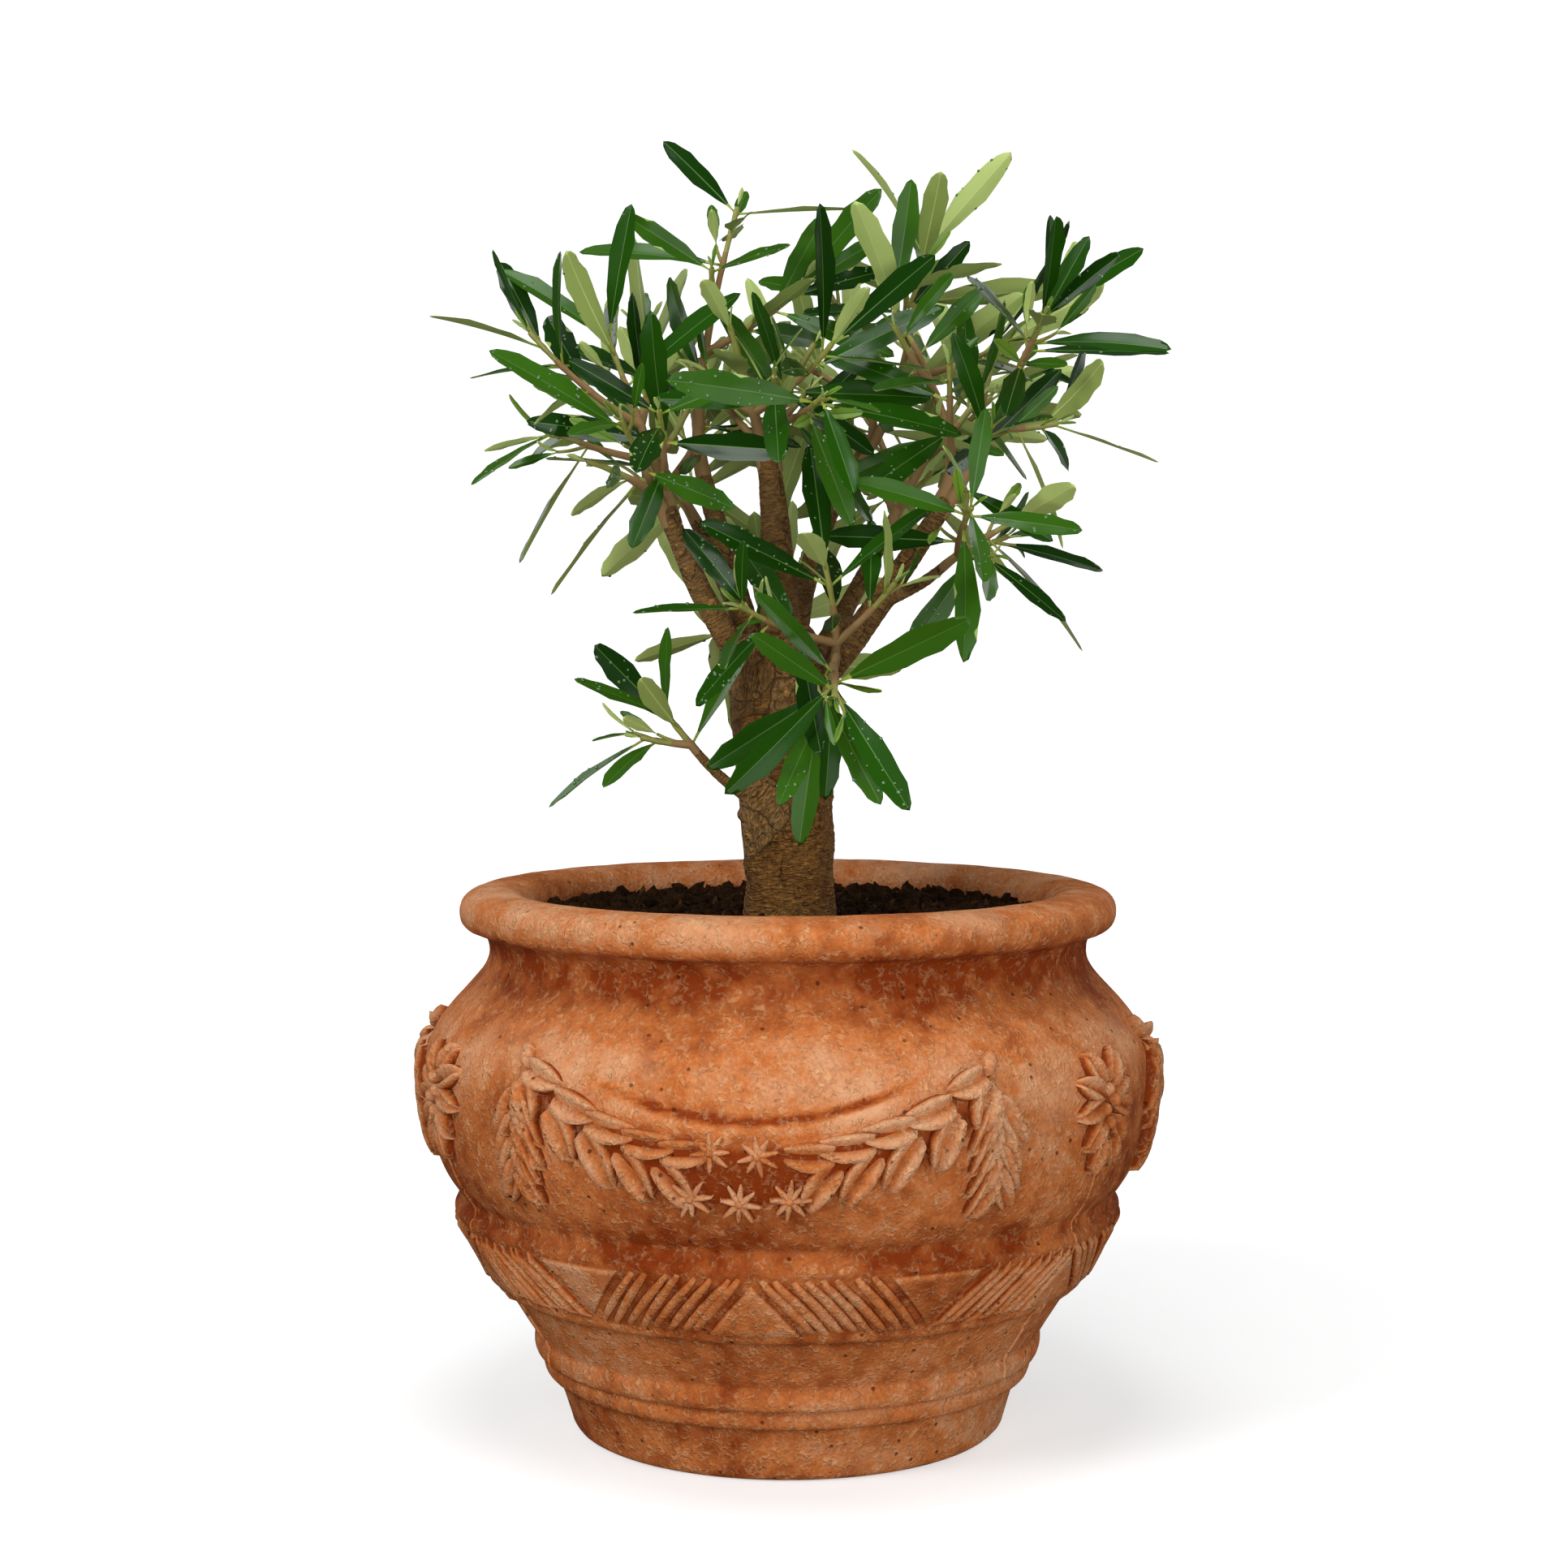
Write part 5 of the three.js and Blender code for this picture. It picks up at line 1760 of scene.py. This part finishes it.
def limb_curves(name, rows):
    """A curve object with one open spline for each row of points and radii."""
    data = bpy.data.curves.new(name, "CURVE")
    data.dimensions = "3D"
    for points, radii in rows:
        spline = data.splines.new("POLY")
        spline.points.add(len(points) - 1)
        flat = np.concatenate([np.asarray(points) * MM, np.ones((len(points), 1))], axis=1)
        spline.points.foreach_set("co", flat.astype(np.float32).ravel())
        spline.points.foreach_set("radius", (np.asarray(radii) * MM).astype(np.float32))
    return link(name, data)


def twig_rows(twigs, shoots, green_length):
    """Points and radii of the woody twigs, and of the green ends and shoots."""
    woody = []
    green = []
    for twig in twigs:
        count = max(8, int(twig["length"] / TWIG_SHOWN["step"]))
        shares = np.linspace(0, 1, count)
        points = twig["curve"].points(count)
        radii = twig_radii(twig, shares)
        cut = int(np.argmax(shares > 1 - green_length / twig["length"]))
        cut = min(max(cut, 3), count - 3)
        if "along" in twig:
            inside = points[0] - twig["along"] * TWIG_SHOWN["sunk"]
            points = np.concatenate([[inside], points])
            radii = np.concatenate([[radii[0] * 0.9], radii])
            cut += 1
        woody.append((points[: cut + 1], radii[: cut + 1]))
        green.append((points[cut:], radii[cut:] * 0.99))
    for shoot in shoots:
        green.append((shoot.points(7), np.linspace(*TWIG_SHOWN["shoot"], 7)))
    return woody, green


def leaf_mesh_points(leaves, random):
    """Ring points and tips of every leaf: a folded, wavy blade with a rib, thin at its edges."""
    count = len(leaves)
    root, way, face = (np.array([leaf[key] for leaf in leaves]) for key in ("root", "way", "face"))
    length, droop = (np.array([leaf[key] for leaf in leaves]) for key in ("length", "droop"))
    across = np.cross(face, way)
    share = LEAF_RINGS[None, :]
    half = length[:, None] * LEAF["breadth"] * LEAF_NARROW * 0.5 * leaf_breadth(share)
    rib = np.minimum(half * 0.5, LEAF_RIB[0] + (LEAF_RIB[1] - LEAF_RIB[0]) * share)
    mid = LEAF_MID * half
    aside = np.stack([-half, -mid, -rib, rib, mid, half, mid, rib, -rib, -mid], -1)
    draws = np.array([[random() for _ in range(4)] for _ in range(count)])
    fold = LEAF_FOLDS[0] + (LEAF_FOLDS[1] - LEAF_FOLDS[0]) * draws[:, 0]
    spin = np.radians(LEAF_TWIST) * 2 * (draws[:, 1] - 0.5)
    open_share = np.clip((share - 0.1) / 0.25, 0, 1)
    lift = fold[:, None, None] * open_share[..., None] * (np.abs(aside) - rib[..., None])
    for margin, inner, shift in ((LEAF_MARGINS[0], 1, 2), (LEAF_MARGINS[1], 4, 3)):
        wave = np.sin(2 * math.pi * (LEAF_WAVE_COUNT * share + draws[:, shift][:, None]))
        lift[..., margin] += LEAF_WAVE * half * open_share * wave
        lift[..., inner] += LEAF_WAVE * LEAF_MID * half * open_share * wave + LEAF_SUNK
        bumps = np.sin(2 * math.pi * (LEAF_BUMP_COUNT * share + draws[:, 5 - shift][:, None]))
        aside[..., margin] *= 1 + LEAF_BUMPS * open_share * bumps
    lift[..., 2:4] -= LEAF_SUNK
    thick = LEAF_THICK[0] + (LEAF_THICK[1] - LEAF_THICK[0]) * open_share
    lift[..., 6] = lift[..., 4] - thick
    lift[..., 7:9] = -(LEAF_KEEL[0] + (LEAF_KEEL[1] - LEAF_KEEL[0]) * np.sqrt(share))[..., None]
    lift[..., 9] = lift[..., 1] - thick
    angle = (spin[:, None] * share)[..., None, None]
    turned_across = across[:, None, None, :] * np.cos(angle) + face[:, None, None, :] * np.sin(angle)
    turned_face = face[:, None, None, :] * np.cos(angle) - across[:, None, None, :] * np.sin(angle)
    middle = root[:, None, :] + way[:, None, :] * (length[:, None] * share)[..., None]
    middle = middle - face[:, None, :] * (droop[:, None] * length[:, None] * share**2)[..., None]
    rings = middle[:, :, None, :] + turned_across * aside[..., None] + turned_face * lift[..., None]
    tips = root + way * length[:, None] - face * (droop * length)[:, None]
    return rings, tips


def leaf_faces(tops, unders):
    """Faces and material numbers of leaves whose upper and lower materials are given for each."""
    rings, columns = len(LEAF_RINGS), LEAF_COLUMNS
    rib, stalk, keel = (FINISH_NUMBERS[name] for name in ("leaf rib", "leaf stalk", "underside rib"))
    step = rings * columns + 1
    faces = []
    which = []
    for number, (top, under) in enumerate(zip(tops, unders)):
        base = number * step
        kinds = (top, top, rib, top, top, under, under, keel, under, under)
        for i in range(rings):
            for j in range(columns):
                after = (j + 1) % columns
                low = base + i * columns
                if i < rings - 1:
                    faces.append((low + j, low + columns + j, low + columns + after, low + after))
                else:
                    faces.append((low + j, base + step - 1, low + after))
                which.append(stalk if i < STALK_RINGS else kinds[j])
        faces.append(tuple(base + j for j in range(columns)))
        which.append(stalk)
    return faces, which


def sharpen_margins(mesh):
    """Keeps the upper and lower sides of each leaf apart in the shading."""
    step = len(LEAF_RINGS) * LEAF_COLUMNS + 1
    edges = np.zeros(len(mesh.edges) * 2, np.int32)
    mesh.edges.foreach_get("vertices", edges)
    place = edges.reshape(-1, 2) % step
    is_blade = (place >= STALK_RINGS * LEAF_COLUMNS).all(axis=1)
    column = place % LEAF_COLUMNS
    on_margin = (column[:, 0] == column[:, 1]) & np.isin(column[:, 0], LEAF_MARGINS) & is_blade
    layer = mesh.attributes.new("sharp_edge", "BOOLEAN", "EDGE")
    layer.data.foreach_set("value", on_margin)


def leaf_tones(leaves, random):
    """Numbers of the upper and lower material of each leaf: by age, and then by spray."""
    order = list(SPRAYS)
    young, bright = FINISH_NUMBERS["leaf young"], FINISH_NUMBERS["leaf bright"]
    sage, pale = FINISH_NUMBERS["underside sage"], FINISH_NUMBERS["underside pale"]
    tops = []
    unders = []
    for leaf in leaves:
        habit = order.index(leaf["spray"])
        draw = random()
        if leaf["rank"] < 0:
            tops.append(young if leaf["length"] < FINER["bud_lengths"][1] or draw < 0.4 else bright)
        elif leaf["rank"] == 0 and draw < 0.45:
            tops.append(bright)
        else:
            tops.append((habit + (1 if draw > 0.6 else 0)) % USUAL_TOPS)
        unders.append(pale if leaf["rank"] <= 0 or draw > 0.7 else sage)
    return tops, unders


def drop_ground(leaves, rings, random):
    """Upper sides of some leaves, as the ground that drops of water lie on."""
    made = Gathering()
    faces = sheet_faces(len(LEAF_RINGS) - STALK_RINGS - 1, LEAF_MARGINS[1] + 1)
    for number, leaf in enumerate(leaves):
        if leaf["rank"] >= 0 and leaf["face"][2] > DROPS["level"] and random() < DROPS["share"]:
            made.add(rings[number, STALK_RINGS + 1 :, : LEAF_MARGINS[1] + 1], faces)
    return link("drop_ground", mesh_of("drop_ground", made.all_points(), made.faces, []))


def drop_shape():
    """A flat dome of a few faces and 1 mm in radius, which the scatter scales."""
    sides = 8
    points = []
    for radius, height in DROPS["rings"]:
        for j in range(sides):
            turn = 2 * math.pi * j / sides
            points.append((radius * math.cos(turn), radius * math.sin(turn), height))
    low, rings = len(points), len(DROPS["rings"])
    points += [(0, 0, height) for height in DROPS["poles"]]
    faces = ring_faces(rings, sides) + end_fans(low, low + 1, rings, sides)
    return link("drop_shape", mesh_of("drop_shape", points, faces, []))


# Settings


def colour_setting(name, description, default):
    return bpy.props.FloatVectorProperty(
        name=name, description=description, subtype="COLOR", size=3, min=0, max=1, default=default
    )


def number_setting(name, description, default, **limits):
    return bpy.props.FloatProperty(name=name, description=description, default=default, **limits)


class PotSettings(bpy.types.PropertyGroup):
    """Colours of the terracotta, and the seed of its small irregularities."""

    clay: colour_setting("Clay", "Usual colour of the fired clay", (0.50, 0.155, 0.040))
    # The deep colour is also painted shade in the neck and in the hollows of the ornament.
    clay_deep: colour_setting("Deep clay", "Colour in the neck and the hollows", (0.19, 0.027, 0.0014))
    # The worn colour is also painted highlight on the belly, the lip and the crests of the ornament.
    clay_pale: colour_setting("Worn clay", "Colour of worn and chalky places", (0.58, 0.315, 0.168))
    clay_fleck: colour_setting("Flecks", "Colour of the thin curled flecks", (0.69, 0.37, 0.175))
    # The pit colour is also painted shade in the crevices of the ornament.
    clay_pit: colour_setting("Pits", "Colour in the small pits", (0.085, 0.016, 0.003))
    seed: bpy.props.IntProperty(name="Seed", description="Seed of the uneven ornament", default=11, min=0)


class SoilSettings(bpy.types.PropertyGroup):
    """Colours and crumbs of the soil."""

    dark: colour_setting("Dark soil", "Colour of damp soil", (0.0135, 0.0052, 0.0014))
    light: colour_setting("Light soil", "Colour of dry crumbs", (0.050, 0.0205, 0.0060))
    chip: colour_setting("Chips", "Colour of bits of bark and fibre", (0.14, 0.066, 0.026))
    crumb_scale: number_setting("Crumb size", "Scale of every crumb", 1.0, min=0.2, max=3.0)
    density: number_setting("Crumbs", "Crumbs for each square metre of soil", 40000.0, min=0.0)


class BarkSettings(bpy.types.PropertyGroup):
    """Colours and relief of the bark."""

    bark: colour_setting("Bark", "Colour of the old bark", (0.21, 0.082, 0.014))
    bark_young: colour_setting("Young bark", "Colour of the bark on thin limbs", (0.27, 0.165, 0.066))
    bark_ridge: colour_setting("Ridges", "Colour on the ridges", (0.56, 0.275, 0.066))
    bark_crack: colour_setting("Cracks", "Colour in the cracks", (0.048, 0.018, 0.004))
    relief: number_setting("Relief", "Scale of the relief of the bark", 1.0, min=0.0, max=3.0)
    skin_step: number_setting("Skin step", "Size of the mesh's cells", 0.00095, min=0.0005, unit="LENGTH")


class FoliageSettings(bpy.types.PropertyGroup):
    """Colours of twigs and leaves, and the amount of water on them."""

    top_deep: colour_setting("Deep leaves", "Upper side of the darkest leaves", (0.0050, 0.031, 0.0008))
    top_green: colour_setting("Green leaves", "Upper side of most leaves", (0.0115, 0.060, 0.0014))
    top_bright: colour_setting("Bright leaves", "Upper side of leaves near the tips", (0.028, 0.098, 0.004))
    top_young: colour_setting("Young leaves", "Upper side of opening leaves", (0.13, 0.24, 0.014))
    # The undersides are made paler than their own colour, as painted light for the front light that falls on
    # them.
    under_sage: colour_setting("Old undersides", "Lower side of old leaves", (0.30, 0.39, 0.095))
    under_pale: colour_setting("Young undersides", "Lower side of young leaves", (0.42, 0.53, 0.155))
    rib: colour_setting("Ribs", "Ribs of the leaves", (0.050, 0.135, 0.012))
    under_rib: colour_setting("Ribs below", "Ribs on the lower side of the leaves", (0.52, 0.62, 0.20))
    stalk: colour_setting("Stalks", "Stalks of the leaves", (0.28, 0.36, 0.035))
    shoot: colour_setting("Shoots", "Green ends of the twigs", (0.25, 0.25, 0.05))
    water: colour_setting("Water", "Drops of water on the leaves", (0.050, 0.140, 0.030))
    green_length: number_setting("Green length", "Green length at the end of a twig", 0.016, unit="LENGTH")
    drops: number_setting("Drops", "Drops for each square metre of leaf", 24000.0, min=0.0)


class StageSettings(bpy.types.PropertyGroup):
    """Floor, light and camera."""

    floor: colour_setting("Floor", "Colour of the floor and the backdrop", (0.62, 0.62, 0.62))
    key: number_setting("Key light", "Power of the key light in watts", 20.0)
    fill: number_setting("Fill light", "Power of the fill light in watts", 17.0)
    top: number_setting("Top light", "Power of the top light in watts", 17.0)
    bounce: number_setting("Bounce", "Power of the low light in watts", 12.0)
    back: number_setting("Back lights", "Power of each back light in watts", 9.0)
    glow: number_setting("Glow", "Light that the backdrop gives off", 0.92)
    floor_glow: number_setting("Floor glow", "Light that the floor gives off", 0.52)
    sky: number_setting("Sky", "Strength of the even light", 0.11)
    aside: number_setting("Aside", "Camera's place to the right of the pot's middle", -0.00167, unit="LENGTH")
    distance: number_setting("Distance", "Camera's distance before the pot", 1.267, unit="LENGTH")
    height: number_setting("Height", "Camera's height over the floor", 0.3731, unit="LENGTH")
    tilt: number_setting("Tilt", "How far the camera looks down", math.radians(3.5), subtype="ANGLE")
    lens: number_setting("Lens", "Focal length for a sensor 36 wide", 63.35, unit="CAMERA")


# Operators


class BONSAI_OT_pot(bpy.types.Operator):
    """Make the terracotta pot with its moulded ornament"""

    bl_idname = "bonsai.pot"
    bl_label = "Pot"

    def execute(self, context):
        settings = context.scene.bonsai_pot
        material = terracotta(settings)
        settle(link("pot_body", pot_body(material)), "terracotta", "pot")
        settle(link("pot_relief", pot_relief(material, settings.seed)), "terracotta")
        return {"FINISHED"}


class BONSAI_OT_soil(bpy.types.Operator):
    """Make the soil with its crumbs and chips"""

    bl_idname = "bonsai.soil"
    bl_label = "Soil"

    def execute(self, context):
        settings = context.scene.bonsai_soil
        ground = earth("soil", settings.dark, settings.light)
        chip = earth("soil chips", settings.light, settings.chip)
        bed = soil_bed(ground)
        pieces = [crumbs(name, bed, chip if name == "soil_chips" else ground, settings) for name in CRUMBS]
        settle(link("soil_bed", bed), "soil", "soil")
        for piece in pieces:
            settle(piece, "soil")
        return {"FINISHED"}


class BONSAI_OT_limbs(bpy.types.Operator):
    """Make the trunk and the boughs with the relief of their bark"""

    bl_idname = "bonsai.limbs"
    bl_label = "Trunk and boughs"

    def execute(self, context):
        settings = context.scene.bonsai_bark
        mesh = limbs_mesh(settings, bark(settings))
        boughs = [f"{name}_bough" for name in BOUGHS]
        settle(link("limbs", mesh), "bark", "trunk", *boughs)
        return {"FINISHED"}


class BONSAI_OT_foliage(bpy.types.Operator):
    """Grow the twigs and leaves of every spray, with drops of water on some leaves"""

    bl_idname = "bonsai.foliage"
    bl_label = "Foliage"

    def execute(self, context):
        settings = context.scene.bonsai_foliage
        twigs, leaves, room = grow_crown()
        shoots, leaflets = grow_finer(twigs, room)
        self.make_twigs(settings, context.scene.bonsai_bark, twigs, shoots)
        leaves += leaflets
        random = seeded(FINER["seed"])
        rings = self.make_leaves(settings, leaves, random)
        self.make_drops(settings, drop_ground(leaves, rings, random))
        return {"FINISHED"}

    def make_twigs(self, settings, barks, twigs, shoots):
        tree = shared_group("Round limbs", round_limbs_tree)
        woody, green = twig_rows(twigs, shoots, settings.green_length / MM)
        twig_bark = plain_material("twig bark", barks.bark_young, 0.8, Specular_IOR_Level=0.25)
        shoot = plain_material("green shoot", settings.shoot, 0.5)
        kinds = (("twigs", woody, twig_bark, "bark", 9), ("shoots", green, shoot, "foliage", 7))
        for name, rows, material, slot, sides in kinds:
            lines = limb_curves(name + "_lines", rows)
            settle(apply_tree(lines, tree, name, {"Sides": sides, "Material": material}), slot)

    def make_leaves(self, settings, leaves, random):
        rings, tips = leaf_mesh_points(leaves, random)
        points = np.concatenate([rings.reshape(len(leaves), -1, 3), tips[:, None, :]], axis=1).reshape(-1, 3)
        faces, which = leaf_faces(*leaf_tones(leaves, random))
        materials = [
            plain_material(name, getattr(settings, key), roughness, **gloss)
            for name, (key, roughness, gloss) in LEAF_FINISHES.items()
        ]
        mesh = mesh_of("leaves", points, faces, materials, which)
        sharpen_margins(mesh)
        settle(link("leaves", mesh), "foliage", *SPRAYS)
        return rings

    def make_drops(self, settings, ground):
        values = {
            "Density": settings.drops,
            "Smallest": DROPS["sizes"][0],
            "Largest": DROPS["sizes"][1],
            "Tumble": 0.0,
            "Seed": DROPS["seed"],
            "Material": plain_material("water", settings.water, 0.04, Coat_Weight=1.0, Coat_Roughness=0.02),
        }
        settle(scattered("water_drops", ground, drop_shape(), values), "foliage")


class BONSAI_OT_stage(bpy.types.Operator):
    """Make the floor, the lights and the camera"""

    bl_idname = "bonsai.stage"
    bl_label = "Stage"

    def execute(self, context):
        settings = context.scene.bonsai_stage
        self.make_floor(settings)
        self.make_lights(settings)
        self.make_sky(context.scene, settings)
        self.make_camera(context.scene, settings)
        return {"FINISHED"}

    def make_floor(self, settings):
        """A round floor that bends up into a white wall on all sides."""
        flat, bend, sides = FLOOR["flat"], FLOOR["bend"], FLOOR["sides"]
        line = [(FLOOR["inner"], 0), (flat, 0)]
        for angle in np.linspace(0.1, math.pi / 2, 12):
            line.append((flat + bend * math.sin(angle), bend - bend * math.cos(angle)))
        line.append((flat + bend, FLOOR["wall"]))
        turns = round_turns(sides)
        points = [(r * math.cos(turn), r * math.sin(turn), z) for r, z in line for turn in turns]
        faces = [tuple(reversed(face)) for face in ring_faces(len(line), sides)]
        faces.append(tuple(range(sides)))
        backdrop = link("backdrop", mesh_of("backdrop", points, faces, [self.paper(settings)]))
        backdrop.visible_diffuse = False
        backdrop.visible_glossy = False
        backdrop.visible_shadow = False

    def paper(self, settings):
        """White paper that gives off more light away from the pot."""
        finish = {"Specular_IOR_Level": 0.1, "Emission_Color": (1, 1, 1, 1)}
        material = plain_material("paper", settings.floor, 0.9, **finish)
        nodes = Nodes(material.node_tree)
        away = nodes.add("ShaderNodeVectorMath", {0: nodes.place()}, operation="LENGTH").outputs["Value"]
        glow = nodes.spread(away, *FLOOR["brightens"], settings.floor_glow, settings.glow)
        nodes.tree.links.new(glow, nodes.tree.nodes["Principled BSDF"].inputs["Emission Strength"])
        return material

    def make_lights(self, settings):
        for name, (key, place, size) in LIGHTS.items():
            lamp = bpy.data.lights.new(name, "AREA")
            lamp.size = size
            lamp.energy = getattr(settings, key)
            holder = link(name, lamp)
            holder.location = place
            holder.rotation_euler = (Vector(LIT_POINT) - Vector(place)).to_track_quat("-Z", "Y").to_euler()

    def make_sky(self, scene, settings):
        world = bpy.data.worlds.new("sky")
        world.use_nodes = True
        shade = world.node_tree.nodes["Background"]
        shade.inputs["Color"].default_value = (1, 1, 1, 1)
        shade.inputs["Strength"].default_value = settings.sky
        scene.world = world

    def make_camera(self, scene, settings):
        camera = bpy.data.cameras.new("camera")
        camera.lens = settings.lens
        camera.sensor_width = SENSOR_WIDTH
        holder = link("camera", camera)
        holder.location = (settings.aside, -settings.distance, settings.height)
        holder.rotation_euler = (math.radians(90) - settings.tilt, 0, 0)
        scene.camera = holder
        scene.view_settings.view_transform = "Standard"


class BONSAI_PT_sidebar(bpy.types.Panel):
    """Settings and makers of the potted olive tree"""

    bl_idname = "BONSAI_PT_sidebar"
    bl_label = "Olive bonsai"
    bl_space_type = "VIEW_3D"
    bl_region_type = "UI"
    bl_category = "Bonsai"

    def draw(self, context):
        for label, group in SETTINGS.items():
            box = self.layout.box()
            box.label(text=label.capitalize())
            settings = getattr(context.scene, "bonsai_" + label)
            for key in group.__annotations__:
                box.prop(settings, key)
        for maker in MAKERS:
            self.layout.operator(maker.bl_idname)


SETTINGS = {
    "pot": PotSettings,
    "soil": SoilSettings,
    "bark": BarkSettings,
    "foliage": FoliageSettings,
    "stage": StageSettings,
}
MAKERS = (BONSAI_OT_pot, BONSAI_OT_soil, BONSAI_OT_limbs, BONSAI_OT_foliage, BONSAI_OT_stage)


def register():
    for kind in (*SETTINGS.values(), *MAKERS, BONSAI_PT_sidebar):
        bpy.utils.register_class(kind)
    for label, group in SETTINGS.items():
        setattr(bpy.types.Scene, "bonsai_" + label, bpy.props.PointerProperty(type=group))


def unregister():
    for label in SETTINGS:
        delattr(bpy.types.Scene, "bonsai_" + label)
    for kind in (BONSAI_PT_sidebar, *MAKERS, *SETTINGS.values()):
        bpy.utils.unregister_class(kind)


def main():
    register()
    bpy.ops.bonsai.pot()
    bpy.ops.bonsai.soil()
    bpy.ops.bonsai.limbs()
    bpy.ops.bonsai.foliage()
    bpy.ops.bonsai.stage()


if __name__ == "__main__":
    main()
